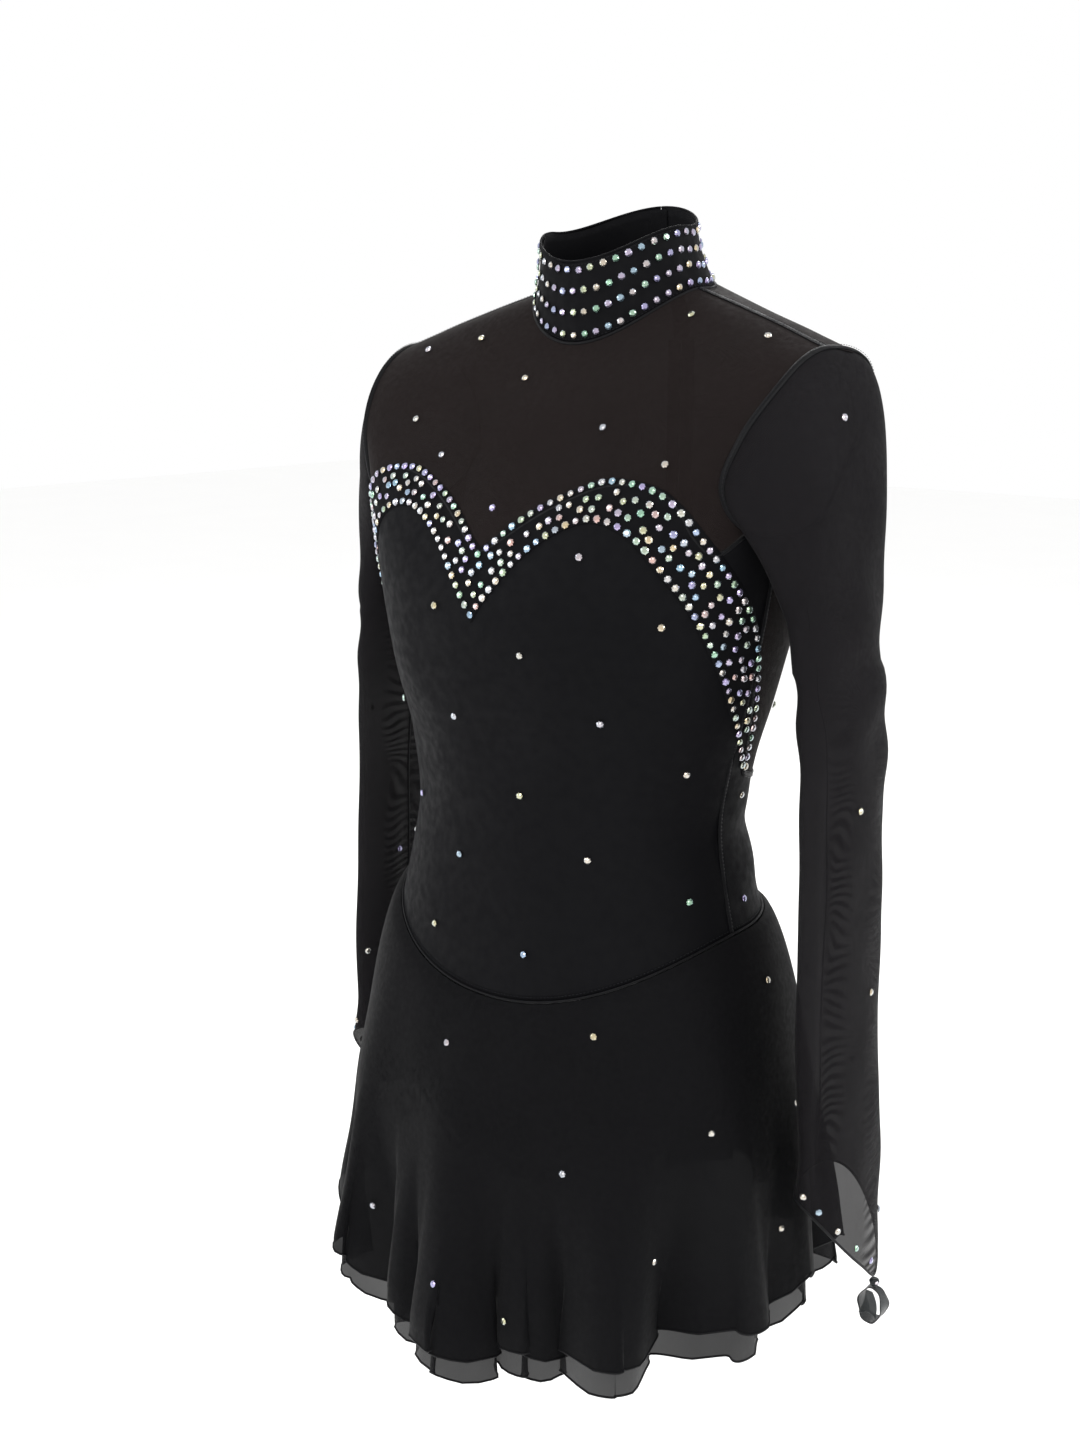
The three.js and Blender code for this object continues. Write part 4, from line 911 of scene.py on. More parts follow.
class Wardrobe:
    """Every finish of the dress, made once."""

    def __init__(self) -> None:
        """Builds the materials."""
        black: Colour = (0.0024, 0.0024, 0.0029)
        self.stretch = ClothFinish("black stretch knit", black).material()
        self.backing = ClothFinish("band backing", black, sheen=0.01, rough=0.7).material()
        self.trim = ClothFinish("seam trim", black, Weave.TWILL, 0.6, 0.5, 0.03, ior=1.2,
                                relief=0.5).material()
        self.thread = ClothFinish("sewing thread", (0.006, 0.006, 0.007), Weave.TWILL, 0.3, 0.45,
                                  0.04).material()
        self.yoke = SheerFinish("yoke mesh", (0.0085, 0.0062, 0.0060), Weave.MESH, 0.8, 0.96,
                                0.035).material()
        self.sleeve = SheerFinish("sleeve mesh", (0.0062, 0.0057, 0.0065), Weave.MESH, 0.8, 0.925, 0.05,
                                  ripple=0.07, upper_cover=0.04).material()
        self.chiffon = SheerFinish("outer chiffon", (0.0032, 0.0032, 0.0037), Weave.PLAIN, 0.5, 0.986,
                                   0.012, sheen=0.03).material()
        self.under_chiffon = SheerFinish("under chiffon", (0.0060, 0.0060, 0.0066), Weave.PLAIN, 0.5,
                                         0.945, 0.03, sheen=0.04).material()
        self.organza = SheerFinish("organza ribbon", (0.010, 0.013, 0.014), Weave.PLAIN, 0.45, 0.86, 0.08,
                                   rough=0.38, sheen=0.12, ior=1.3).material()
        self.tape = ClothFinish("zip tape", black, Weave.TWILL, 0.5, 0.7, 0.02, relief=0.5).material()
        self.crystal = CrystalFinish().material()
        self.enamel = HardFinish("black enamel", (0.012, 0.012, 0.014), 0.55, 0.28).material()
        self.nylon = HardFinish("moulded nylon", (0.009, 0.009, 0.010), 0.0, 0.35).material()


@dataclass
class Maker:
    """What every sub-assembly needs: the worn shape, the finishes and a hand that dresses pieces."""

    shape: WornShape
    wardrobe: Wardrobe

    def dress(self, obj: bpy.types.Object, material: bpy.types.Material, body: str, slot: str,
              *nodes: str) -> bpy.types.Object:
        """Gives a piece its finish and body, and hides the nodes that it stands for.

        Args:
            obj: The piece.
            material: Its finish.
            body: The body that it rides on, or "" for none.
            slot: Not used.
            *nodes: The CAD nodes that it replaces.

        Returns:
            The piece.
        """
        obj.data.materials.clear()
        obj.data.materials.append(material)
        if body:
            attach(obj, body)
        if nodes:
            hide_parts(*nodes)
        LOG.info("%s: %d faces on %s", obj.name, len(obj.data.polygons), body or "two bodies")
        return obj

    def enamel(self, *nodes: str) -> None:
        """Gives metal nodes of the frame their finish and leaves their shape alone."""
        for node in nodes:
            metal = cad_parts[node].data
            metal.materials.clear()
            metal.materials.append(self.wardrobe.enamel)

    def crystals(self, run: CopyRun, name: str, body: str, *nodes: str) -> bpy.types.Object:
        """Makes a piece of the crystals placed in a run, with sharp facets."""
        return self.dress(run.make(name, False), self.wardrobe.crystal, body, "crystal", *nodes)

    def stitch(self, name: str, path: Array, outs: Array, body: str, pitch: float = 2.6,
               closed: bool = False, width: float = 0.55) -> bpy.types.Object:
        """Sews a line of stitches.

        Args:
            name: The piece's name.
            path: The line, in mm.
            outs: The way out at each point of the path.
            body: The body that it rides on.
            pitch: The length of a stitch and its gap, in mm.
            closed: Whether the line closes on itself.
            width: The thread's width, in mm.

        Returns:
            The piece.
        """
        joined = np.concatenate([path, outs * 1000.0], axis=-1)
        if closed:
            joined = np.concatenate([joined, joined[:1]])
        far = run_length(joined[:, :3])
        count = int(far[-1] / pitch)
        run = stitch_run(pitch * 0.74, width)
        at = (np.arange(count) + 0.5) * pitch
        columns = [np.interp(at, far, joined[:, c]) for c in range(6)]
        ahead = [np.interp(np.minimum(at + 1.0, far[-1]), far, joined[:, c]) for c in range(3)]
        behind = [np.interp(np.maximum(at - 1.0, 0.0), far, joined[:, c]) for c in range(3)]
        for k in range(count):
            spot = np.array([columns[c][k] for c in range(3)])
            out = unit(np.array([columns[c][k] for c in range(3, 6)]))
            along = np.array([ahead[c][k] - behind[c][k] for c in range(3)])
            run.place(spot + out * 0.15, out, along)
        return self.dress(run.make(name, True), self.wardrobe.thread, body, "seam_trim")


@dataclass
class Part:
    """A sub-assembly of the dress."""

    maker: Maker

    @property
    def shape(self) -> WornShape:
        """The shape that the dress is cut to."""
        return self.maker.shape

    @property
    def wardrobe(self) -> Wardrobe:
        """The finishes."""
        return self.maker.wardrobe


# ---- collar ----


@dataclass
class Collar(Part):
    """The high collar with its lining, edge and four rows of crystals."""

    top_half: float = 54.0
    top_front: float = 50.0
    top_back: float = 46.0
    front_height: float = 51.0
    side_height: float = 38.0
    back_height: float = 43.0
    rows: int = 4
    stone_radius: float = 2.5
    stone_pitch: float = 8.7
    open_phi: float = 0.6
    flap_half: float = 7.0
    flap_inset: float = 2.3
    thick: float = 1.0

    def loop(self, w: Array) -> Array:
        """The collar's loop sizes at shares of its height."""
        base = self.shape.loops[0]
        top = np.array([self.top_half, self.shape.sizes.side_y_neck - 8, -self.top_front, self.top_back,
                        self.side_height, base[5] + self.front_height, base[6] + self.back_height, 2.0])
        w = np.asarray(w, float)[..., None]
        ease = np.sin(np.pi / 2 * w)
        return np.concatenate([mix(base[:4], top[:4], ease), mix(base[4:], top[4:], w)], axis=-1)

    def point(self, phi: Array, w: Array) -> Array:
        """Points of the collar at angles phi and shares w of its height."""
        phi, w = np.broadcast_arrays(np.asarray(phi, float), np.asarray(w, float))
        return WornShape.on_loop(self.loop(w), phi)

    def surface(self, low: float, high: float) -> Surface:
        """A strip of the collar between two heights, open at the back."""
        edge = 180.0 - self.open_phi

        def strip(u: Array, w: Array) -> Array:
            return self.point(mix(-edge, edge, u), mix(high, low, w))

        return strip

    def make(self) -> None:
        """Makes the band, its lining and edges, and the rows of crystals."""
        maker = self.maker
        pull = Unevenness(11, 0.45, 38)
        band = make_cloth("collar_band_cloth", self.surface(-0.015, 1.0), 150, 16, offset=0.5,
                          lift=lambda u, w, p: pull(p) * (1 - w) - 0.5 * smooth(0.9, 1.0, w),
                          thick=self.thick)
        maker.dress(band, self.wardrobe.stretch, "dress", "stretch_fabric", "collar_band")
        lining = make_cloth("collar_lining_mesh", self.surface(0.03, 0.97), 120, 8, offset=-1.5, thick=0.4)
        maker.dress(lining, self.wardrobe.backing, "dress", "sheer_mesh", "collar_lining")
        self._edges()
        self._placket()
        self._stones()
        maker.enamel("collar_hook", "collar_eye")

    def _placket(self) -> None:
        """Makes the narrow flap inside the back opening, from the collar's top to the zip."""
        shape, split = self.shape, 0.55

        def surface(u: Array, w: Array) -> Array:
            half = mix(-self.flap_half, self.flap_half, u)
            high = self.point(180.0, mix(0.96, 0.0, np.clip(w / split, 0, 1)))
            low = shape.point(np.full(w.shape, 180.0),
                              mix(0.0, 1.86, np.clip((w - split) / (1 - split), 0, 1)))
            spot = np.where((w < split)[..., None], high, low)
            return spot + np.stack([half, -self.flap_inset - 0.008 * half**2, 0 * half], axis=-1)

        flap = make_cloth("back_placket", surface, 8, 40, around=(0.0, 0.0), thick=0.4)
        self.maker.dress(flap, self.wardrobe.backing, "dress", "stretch_fabric")

    def _edges(self) -> None:
        """Makes the turned top edge and the seam at the base of the collar."""
        maker = self.maker
        edge = 180.0 - self.open_phi
        phi = np.linspace(-edge, edge, 160)
        top = self.point(phi, np.full(phi.shape, 1.0))
        rolled = make_cord("collar_top_roll", top + [0, 0, 0.1], 0.85, 8, closed=False)
        maker.dress(rolled, self.wardrobe.stretch, "dress", "seam_trim")
        low = self.point(phi, np.full(phi.shape, -0.012))
        outs = unit(np.stack([low[:, 0], low[:, 1], np.zeros(len(phi))], axis=-1))
        seam = make_cord("collar_base_seam", low + outs * 0.9, 1.15, 8, closed=False)
        maker.dress(seam, self.wardrobe.trim, "dress", "seam_trim")
        line = self.point(phi, np.full(phi.shape, 0.035)) + outs * 0.9
        maker.stitch("collar_base_stitches", line, outs, "dress")
        high = self.point(phi, np.full(phi.shape, 0.955)) + outs * 0.75
        maker.stitch("collar_top_stitches", high, outs, "dress")

    def _stones(self) -> None:
        """Sets the rows of crystals."""
        draw = np.random.default_rng(41)
        for row in range(self.rows):
            w = mix(0.1, 0.9, row / (self.rows - 1))
            phi = np.linspace(-176.0, 176.0, 400)
            track = even_path(self.point(phi, np.full(phi.shape, w)), self.stone_pitch)
            run = stone_run(self.stone_radius)
            centre = np.array([0.0, self.shape.sizes.side_y_neck - 6 * w, 0.0])
            for spot in track:
                jitter = draw.normal(scale=0.32, size=3)
                out = unit((spot - centre) * [1, 1, 0] + draw.normal(scale=2.5, size=3))
                away = unit((spot - centre) * [1, 1, 0])
                run.place(spot + away * 0.9 + jitter * (1 - np.abs(away)), out, draw.normal(size=3),
                          draw.uniform(0.94, 1.05))
            self.maker.crystals(run, f"collar_crystals_{row + 1}", "dress", f"collar_stone_row_{row + 1}")


# ---- yoke and bodice ----


@dataclass
class Bodice(Part):
    """The sheer yoke, the opaque bodice and the seams that join them."""

    back_edge: float = 0.5
    zip_opening: float = 4.6
    zip_top: float = 36.0
    zip_end: float = 200.0
    thick: float = 0.7

    def make(self) -> None:
        """Makes every panel and seam."""
        self._front_yoke()
        self._front_bodice()
        for side in Side:
            self._back_yoke(side)
            self._back_bodice(side)
            self._side_seams(side)
            self._armhole_seam(side)
        self._sweetheart_seam()
        self._back_line_seam()

    def _front_edge(self, w: Array) -> tuple[Array, Array]:
        """The front yoke's side edge: the shoulder seam, then the armhole down to the sweetheart."""
        shape, share = self.shape, 0.25
        reach = (shape.SEAM_PHI - shape.YOKE_END_PHI) / shape.ARMHOLE_FRONT
        last = 1 - math.asin(reach) / math.pi
        start = shape.ARMHOLE_LEVEL - shape.ARMHOLE_HALF_LEVEL
        phi, level = shape.armhole(True, np.clip((w - share) / (1 - share), 0, 1) * last)
        upper = w < share
        return np.where(upper, shape.SEAM_PHI, phi), np.where(upper, start * w / share, level)

    def _back_edge(self, w: Array) -> tuple[Array, Array]:
        """A back yoke's side edge: the shoulder seam, the armhole, then the side seam."""
        shape, share, arm = self.shape, 0.25, 0.5
        half = shape.ARMHOLE_HALF_LEVEL
        phi, level = shape.armhole(False, np.clip((w - share) / arm, 0, 1))
        low = mix(shape.ARMHOLE_LEVEL + half, shape.BACK_TOP[0][1],
                  np.clip((w - share - arm) / (1 - share - arm), 0, 1))
        phi = np.where((w < share) | (w >= share + arm), shape.SEAM_PHI, phi)
        level = np.where(w < share, (shape.ARMHOLE_LEVEL - half) * w / share, level)
        return phi, np.where(w >= share + arm, low, level)

    def _front_yoke(self) -> None:
        """Makes the sheer front."""
        shape = self.shape
        pull = Unevenness(21, 0.9, 95, (1, 1, 1.6))

        def surface(u: Array, w: Array) -> Array:
            across = np.abs(2 * u - 1)
            edge_phi, edge_level = self._front_edge(w)
            phi = across * edge_phi
            v = w * shape.bodice_top(phi) + (edge_level - w * shape.bodice_top(edge_phi)) * across**3
            return shape.point(phi * np.sign(2 * u - 1), v)

        yoke = make_cloth("front_yoke_mesh", surface, 100, 60,
                          lift=lambda u, w, p: pull(p) * np.sin(np.pi * w) * np.sin(np.pi * u))
        self.maker.dress(yoke, self.wardrobe.yoke, "dress", "sheer_mesh", "front_yoke")

    def _front_bodice(self) -> None:
        """Makes the opaque front."""
        shape = self.shape
        pull = Unevenness(22, 0.8, 80, (1, 1, 1.4))

        def surface(u: Array, w: Array) -> Array:
            phi = mix(-shape.SEAM_PHI, shape.SEAM_PHI, u)
            return shape.point(phi, mix(shape.bodice_top(phi), shape.waist_seam(phi), w))

        def lift(u: Array, w: Array, p: Array) -> Array:
            side = np.abs(2 * u - 1)
            drag = 1.5 * np.sin(p[..., 2] / 9.0 + 0.05 * np.abs(p[..., 0])) * smooth(0.6, 0.95, side)
            waist = np.exp(-(((p[..., 2] + 345) / 50) ** 2))
            return pull(p) * np.sin(np.pi * w) + 0.55 * drag * waist

        front = make_cloth("front_bodice_cloth", surface, 150, 64, lift=lift, thick=self.thick)
        self.maker.dress(front, self.wardrobe.stretch, "dress", "stretch_fabric", "front_bodice")

    def _back_yoke(self, side: Side) -> None:
        """Makes the sheer panel at one side of the zip."""
        shape = self.shape
        pull = Unevenness(23, 0.9, 100, (1, 1, 1.5))

        def surface(u: Array, w: Array) -> Array:
            edge_phi, edge_level = self._back_edge(w)
            phi = mix(180.0, edge_phi, u)
            bottom = line_through(shape.BACK_TOP, phi)
            v = w * bottom + (edge_level - w * line_through(shape.BACK_TOP, edge_phi)) * u**3
            loop = shape.loop(v)
            drop = -loop[..., 6]
            along_zip = np.clip((drop - self.zip_top + 6) / 5, 0, 1)
            along_zip = along_zip * np.clip((self.zip_end + 12 - drop) / 6, 0, 1)
            opening = mix(self.back_edge, self.zip_opening, along_zip)
            edge = np.degrees(np.arcsin((opening / loop[..., 0]) ** (loop[..., 7] / 2)))
            return shape.point(side.value * (phi - edge * (1 - u)), v)

        yoke = make_cloth(f"{side.word}_back_yoke_mesh", surface, 60, 70,
                          lift=lambda u, w, p: pull(p) * np.sin(np.pi * w) * np.sin(np.pi * u))
        self.maker.dress(yoke, self.wardrobe.yoke, "dress", "sheer_mesh", f"{side.word}_back_yoke")

    def _back_bodice(self, side: Side) -> None:
        """Makes the opaque low back at one side of the centre seam."""
        shape = self.shape
        pull = Unevenness(24 + side.value, 0.8, 70)

        def surface(u: Array, w: Array) -> Array:
            phi = mix(180.0, shape.SEAM_PHI, u)
            v = mix(line_through(shape.BACK_TOP, phi), shape.waist_seam(phi), w)
            return shape.point(side.value * phi, v)

        def lift(u: Array, w: Array, p: Array) -> Array:
            waist = np.exp(-(((p[..., 2] + 350) / 45) ** 2))
            drag = 0.9 * np.sin(p[..., 2] / 8.0 + 0.04 * np.abs(p[..., 0])) * waist
            return (pull(p) + drag) * np.sin(np.pi * w) * smooth(0, 0.1, u)

        back = make_cloth(f"{side.word}_back_bodice_cloth", surface, 70, 36, lift=lift, thick=self.thick)
        self.maker.dress(back, self.wardrobe.stretch, "dress", "stretch_fabric", f"{side.word}_back_bodice")

    def _seam(self, name: str, phi: Array, v: Array, half: float, nodes: Sequence[str] = (),
              stitches: int = 2,
              lift: float = 0.5) -> None:
        """Makes a flat covered seam with lines of stitches.

        Args:
            name: The seam's name.
            phi: The angles of its line.
            v: The levels of its line.
            half: Its half width, in mm.
            nodes: The CAD nodes that it replaces.
            stitches: How many lines of stitches run along it.
            lift: How far outside the cloth it lies, in mm.
        """
        path, outs = self.shape.stances(phi, v)
        across = unit(np.cross(unit(np.gradient(path, axis=0)), outs))

        def surface(u: Array, w: Array) -> Array:
            k = w * (len(path) - 1)
            low = np.clip(np.floor(k).astype(int), 0, len(path) - 2)
            t = (k - low)[..., None]
            middle = mix(path[low], path[low + 1], t)
            sideways = mix(across[low], across[low + 1], t)
            out = mix(outs[low], outs[low + 1], t)
            crown = (1 - (2 * u[..., None] - 1) ** 2) * 0.35
            return middle + sideways * (mix(-half, half, u))[..., None] + out * (crown + lift)

        tape = make_cloth(f"{name}_tape", surface, 6, max(len(path), 40), thick=0.5)
        self.maker.dress(tape, self.wardrobe.trim, "dress", "seam_trim", *nodes)
        for k in range(stitches):
            shift = 0.0 if stitches == 1 else mix(-0.62, 0.62, k / (stitches - 1)) * half
            line = path + across * shift + outs * (lift + 0.25)
            self.maker.stitch(f"{name}_stitches_{k + 1}", line, outs, "dress")

    def _side_seams(self, side: Side) -> None:
        """Makes the side seam, and the double line along the shoulder from the collar to the sleeve."""
        shape = self.shape
        top, low = (shape.ARMHOLE_LEVEL + way * shape.ARMHOLE_HALF_LEVEL for way in (-1, 1))
        waist = float(shape.waist_seam(shape.SEAM_PHI))
        for word, node, start, end, count, half in (
            ("side_seam", "side_seam", low + 0.05, waist - 0.03, 60, 1.7),
            ("shoulder_seam", "shoulder_tape", 0.03, top - 0.02, 50, 2.6),
        ):
            self._seam(f"{side.word}_{word}", np.full(count, side.value * shape.SEAM_PHI),
                       np.linspace(start, end, count), half, (f"{side.word}_{node}",))

    def _armhole_seam(self, side: Side) -> None:
        """Makes the overlocked seam round the armhole."""
        path, outs = armhole_ring(self.shape, side, 120)
        cord = make_cord(f"{side.word}_armhole_seam", path + outs * 0.5, 2.1, 8, flat=0.55)
        self.maker.dress(cord, self.wardrobe.trim, "dress", "seam_trim", f"{side.word}_armhole_binding")
        self.maker.stitch(f"{side.word}_armhole_stitches", path + outs * 2.1, outs, "dress", closed=True)

    def _sweetheart_seam(self) -> None:
        """Makes the turned edge where the yoke meets the bodice under the crystals."""
        shape = self.shape
        phi = np.linspace(-shape.YOKE_END_PHI, shape.YOKE_END_PHI, 160)
        self._seam("sweetheart_edge", phi, shape.bodice_top(phi) + 0.02, 1.2, stitches=0, lift=0.3)

    def _back_line_seam(self) -> None:
        """Makes the bound line across the low back and the centre seams above and below the zip."""
        shape = self.shape
        for side in Side:
            phi = np.linspace(85.5, 179.2, 90)
            v = line_through(shape.BACK_TOP, phi) + 0.02
            self._seam(f"{side.word}_back_line", side.value * phi, v, 2.0)
        self._seam("centre_back_seam", np.full(50, 180.0), np.linspace(7.05, 9.0, 50), 2.4)
        self._seam("neck_back_seam", np.full(20, 180.0), np.linspace(0.05, 1.72, 20), 2.0, stitches=1)


def armhole_ring(shape: WornShape, side: Side, count: int) -> tuple[Array, Array]:
    """The armhole's closed line, from the shoulder by the front to the underarm and back.

    Args:
        shape: The worn shape.
        side: The side of the wearer.
        count: The number of points.

    Returns:
        Its points and the ways out of the cloth.
    """
    part = np.arange(count) / count
    front_phi, front_v = shape.armhole(True, 2 * part)
    back_phi, back_v = shape.armhole(False, 2 - 2 * part)
    phi, v = np.where(part < 0.5, front_phi, back_phi), np.where(part < 0.5, front_v, back_v)
    return shape.stances(side.value * phi, v)


@dataclass
class StoneBand(Part):
    """The sweetheart band: a cloth backing packed with crystals, with a tidy line along each edge."""

    radius: float = 2.5
    spacing: float = 6.6
    edge_pitch: float = 7.3
    end_phi: float = 95.0
    tries: int = 9000
    top: Corners = (
        (0, 5.40), (5, 4.68), (10, 4.24), (17.5, 3.92), (22, 3.95), (35, 4.5), (52.5, 5.4), (70, 6.2),
        (80, 6.75), (85, 7.25), (90, 8.0), (95, 9.05),
    )
    bottom: Corners = (
        (0, 6.85), (5, 5.95), (10, 5.28), (16, 4.88), (22, 4.84), (32.5, 5.25), (44, 5.85), (55, 6.45),
        (62.5, 6.95), (72.5, 7.6), (80, 8.15), (88, 8.7), (95, 9.15),
    )

    def level(self, phi: Array, share: Array) -> Array:
        """The level at an angle and a share of the band's depth."""
        return mix(line_through(self.top, phi), line_through(self.bottom, phi), share)

    def make(self) -> None:
        """Makes the backing and sets the crystals."""
        shape = self.shape

        def surface(u: Array, w: Array) -> Array:
            phi = mix(-self.end_phi, self.end_phi, u)
            return shape.point(phi, self.level(phi, mix(-0.04, 1.04, w)))

        backing = make_cloth("sweetheart_backing", surface, 180, 12, offset=0.55, thick=0.4)
        self.maker.dress(backing, self.wardrobe.backing, "dress", "stretch_fabric", "sweetheart_band")
        self._crystals()

    def _edge_spots(self, share: float, end: float) -> list[Array]:
        """Evenly spaced angle and share pairs along one edge of the band.

        Args:
            share: The share of the depth that the line runs at.
            end: The last angle.

        Returns:
            A list of angle and level pairs.
        """
        phi = np.linspace(-end, end, 900)
        level = self.level(phi, np.full(phi.shape, share))
        line = self.shape.point(phi, level)
        far = run_length(line)
        count = int(round(far[-1] / self.edge_pitch))
        at = np.interp(np.linspace(0, far[-1], count + 1), far, phi)
        return [np.array([a, float(self.level(a, share))]) for a in at]

    def _crystals(self) -> None:
        """Packs the band with crystals."""
        draw = np.random.default_rng(7)
        spots = self._edge_spots(0.06, self.end_phi - 0.4) + self._edge_spots(0.94, self.end_phi - 3.0)
        places = [self.shape.point(a, v) for a, v in spots]
        kept = np.array(places)
        angles = draw.uniform(-self.end_phi + 1, self.end_phi - 1, self.tries)
        shares = draw.uniform(0.1, 0.9, self.tries)
        candidates = self.shape.point(angles, self.level(angles, shares))
        for angle, share, point in zip(angles, shares, candidates):
            if np.min(np.linalg.norm(kept - point, axis=-1)) >= self.spacing:
                spots.append(np.array([angle, float(self.level(angle, share))]))
                kept = np.concatenate([kept, point[None]])
        run = stone_run(self.radius)
        for angle, level in spots:
            point, out = self.shape.stance(float(angle), float(level))
            tilted = unit(out + draw.normal(scale=0.07, size=3))
            run.place(point + out * 0.95, tilted, draw.normal(size=3), draw.uniform(0.9, 1.08))
        self.maker.crystals(run, "sweetheart_crystals", "dress", "sweetheart_stones")
        LOG.info("sweetheart crystals set: %d", len(spots))


# ---- sleeves ----


@dataclass
class Sleeve(Part):
    """One sheer sleeve, from the armhole to its pointed cuff."""

    side: Side
    join_drop: float = 230.0
    end_drop: float = 640.0
    cuff_rise: float = 65.0
    slant: float = 72.0
    cuff_point: float = 9.0
    cuff_turn: float = 35.0
    top_x: float = 191.0
    cuff_x: float = 209.0
    y: float = -22.0
    half_thick: float = 18.0
    half_deep: float = 44.0
    head_share: float = 0.34
    seam_turn: float = 183.0
    stones: Sequence[tuple[float, float]] = (
        (6, 0.11), (18, 0.485), (-10, 0.68), (118, 0.875), (-46, 0.935), (150, 0.3), (200, 0.5),
        (165, 0.72), (230, 0.85),
    )
    cuff_stones: Sequence[float] = (88, 60, 35, 10, -15)
    cuff_row: float = 0.985
    stone_radius: float = 2.5

    def section(self, drop: Array) -> tuple[Array, float, Array, Array]:
        """The sleeve's section at a drop: its centre x and y, half thickness and half depth."""
        t = (drop - self.join_drop) / (self.end_drop - self.join_drop)
        t1 = np.clip(t, 0, 1)
        x = mix(self.top_x, self.cuff_x, np.sqrt(t1))
        slack = 3 * (1 - np.clip(2 * t, 0, 1)) ** 2
        thick = self.half_thick + slack + 2 * t * t - 2.5 * np.sin(np.pi * t1)
        return x, self.y, thick, self.half_deep + 3 * t * t

    def tube(self, turn: Array, drop: Array) -> Array:
        """Points of the hanging tube; turn 0 is the outer side and a quarter turn the front."""
        x, y, thick, deep = self.section(drop)
        return np.stack([x + thick * np.cos(turn), y - deep * np.sin(turn), -drop + 0 * turn], axis=-1)

    def head(self, turn: Array, w: Array) -> Array:
        """Points of the shoulder, from the armhole at w = 0 to the hanging tube at w = 1."""
        shape = self.shape
        part = np.mod(turn / (2 * np.pi), 1.0)
        front_phi, front_v = shape.armhole(True, 2 * part)
        back_phi, back_v = shape.armhole(False, 2 - 2 * part)
        start = shape.point(np.where(part < 0.5, front_phi, back_phi), np.where(part < 0.5, front_v, back_v))
        end = self.tube(turn, np.full(np.shape(turn), self.join_drop))
        top = np.cos(turn / 2) ** 2
        zero = np.zeros_like(top)
        out = np.stack([mix(18, 62, top), zero, mix(-10, -26, top)], axis=-1)
        down = np.stack([zero + 2, zero, -mix(70, 170, top)], axis=-1)
        w2, w3 = (w * w)[..., None], (w**3)[..., None]
        leave, arrive = 2 * w3 - 3 * w2 + 1, 3 * w2 - 2 * w3
        return start * leave + out * (w3 - 2 * w2 + w[..., None]) + end * arrive + down * (w3 - w2)

    def cuff_drop(self, turn: Array) -> Array:
        """The drop of the cuff edge, longest behind the outer side, where it ends in a point."""
        towards = np.cos(turn + math.radians(self.cuff_turn))
        slope = self.slant * ((1 + towards) / 2) ** 2
        return self.end_drop - self.cuff_rise + slope + self.cuff_point * np.maximum(towards, 0) ** 12

    def point(self, turn: Array, w: Array) -> Array:
        """Points of the whole sleeve, w from 0 at the armhole to 1 at the cuff."""
        turn, w = np.broadcast_arrays(np.asarray(turn, float), np.asarray(w, float))
        share = self.head_share
        shoulder = self.head(turn, np.clip(w / share, 0, 1))
        t = np.clip((w - share) / (1 - share), 0, 1)
        tube = self.tube(turn, mix(self.join_drop, self.cuff_drop(turn), t))
        both = np.where((w < share)[..., None], shoulder, tube)
        return both * np.array([self.side.value, 1.0, 1.0])

    def lift(self, turn: Array, w: Array, p: Array) -> Array:
        """How far the cloth stands off its plain shape: long soft folds and drag lines."""
        seed = 31 if self.side is Side.LEFT else 32
        slow = Unevenness(seed, 2.1, 150, (1, 1, 0.35))
        small = Unevenness(seed + 10, 0.8, 46, (1, 1, 0.5))
        long_fold = -5.2 * np.exp(-(((np.degrees(turn) - 42 - 16 * w) / 15.0) ** 2)) * smooth(0.34, 0.55, w)
        back_fold = -3.6 * np.exp(-(((np.degrees(turn) - 205 + 30 * w) / 18.0) ** 2)) * smooth(0.3, 0.5, w)
        drag = 1.5 * np.sin(p[..., 2] / 8.5 + 2.2 * np.sin(turn)) * np.exp(-(((w - 0.36) / 0.09) ** 2))
        loose = smooth(0.03, 0.25, w) * (1 - 0.85 * smooth(0.94, 1.0, w))
        return (slow(p) + small(p) + drag) * loose + (long_fold + back_fold) * (1 - smooth(0.93, 1.0, w))

    def stance(self, degrees: float, w: float) -> tuple[Array, Array]:
        """A point on the finished cloth and the way out of it."""
        step = 0.01
        turn = math.radians(degrees)
        around = np.array([turn - step, turn, turn + step])
        rows = [self.point(around, np.full(3, w + k * step)) for k in (-1, 0, 1)]
        across = rows[1][2] - rows[1][0]
        down = rows[2][1] - rows[0][1]
        out = unit(np.cross(down, across))
        centre = np.array([self.side.value * (self.top_x - 40 * (w < self.head_share)), self.y,
                           rows[1][1][2]])
        if float(out @ (rows[1][1] - centre)) < 0:
            out = -out
        height = self.lift(np.array([turn % (2 * math.pi)]), np.array([w]), rows[1][1][None])[0]
        return rows[1][1] + out * height, out

    def make(self) -> None:
        """Makes the sleeve, its cuff edge and its scattered crystals."""
        maker, word = self.maker, self.side.word
        tube_body = f"{word}_sleeve_tube"

        def surface(u: Array, w: Array) -> Array:
            return self.point(2 * math.pi * u, w)

        cloth = make_cloth(f"{word}_sleeve_mesh", surface, 84, 130, wraps=True,
                           around=(self.side.value * self.top_x, self.y),
                           lift=lambda u, w, p: self.lift(2 * math.pi * u, w, p))
        maker.dress(cloth, self.wardrobe.sleeve, "", "sheer_mesh", f"{word}_sleeve", f"{word}_sleeve_head")
        self._bend(cloth)
        self._cuff(tube_body)
        self._sleeve_seam()
        self._crystals()

    def _bend(self, obj: bpy.types.Object) -> None:
        """Bakes a piece of the sleeve's placement into its mesh, leaving it on no body."""
        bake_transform(obj)

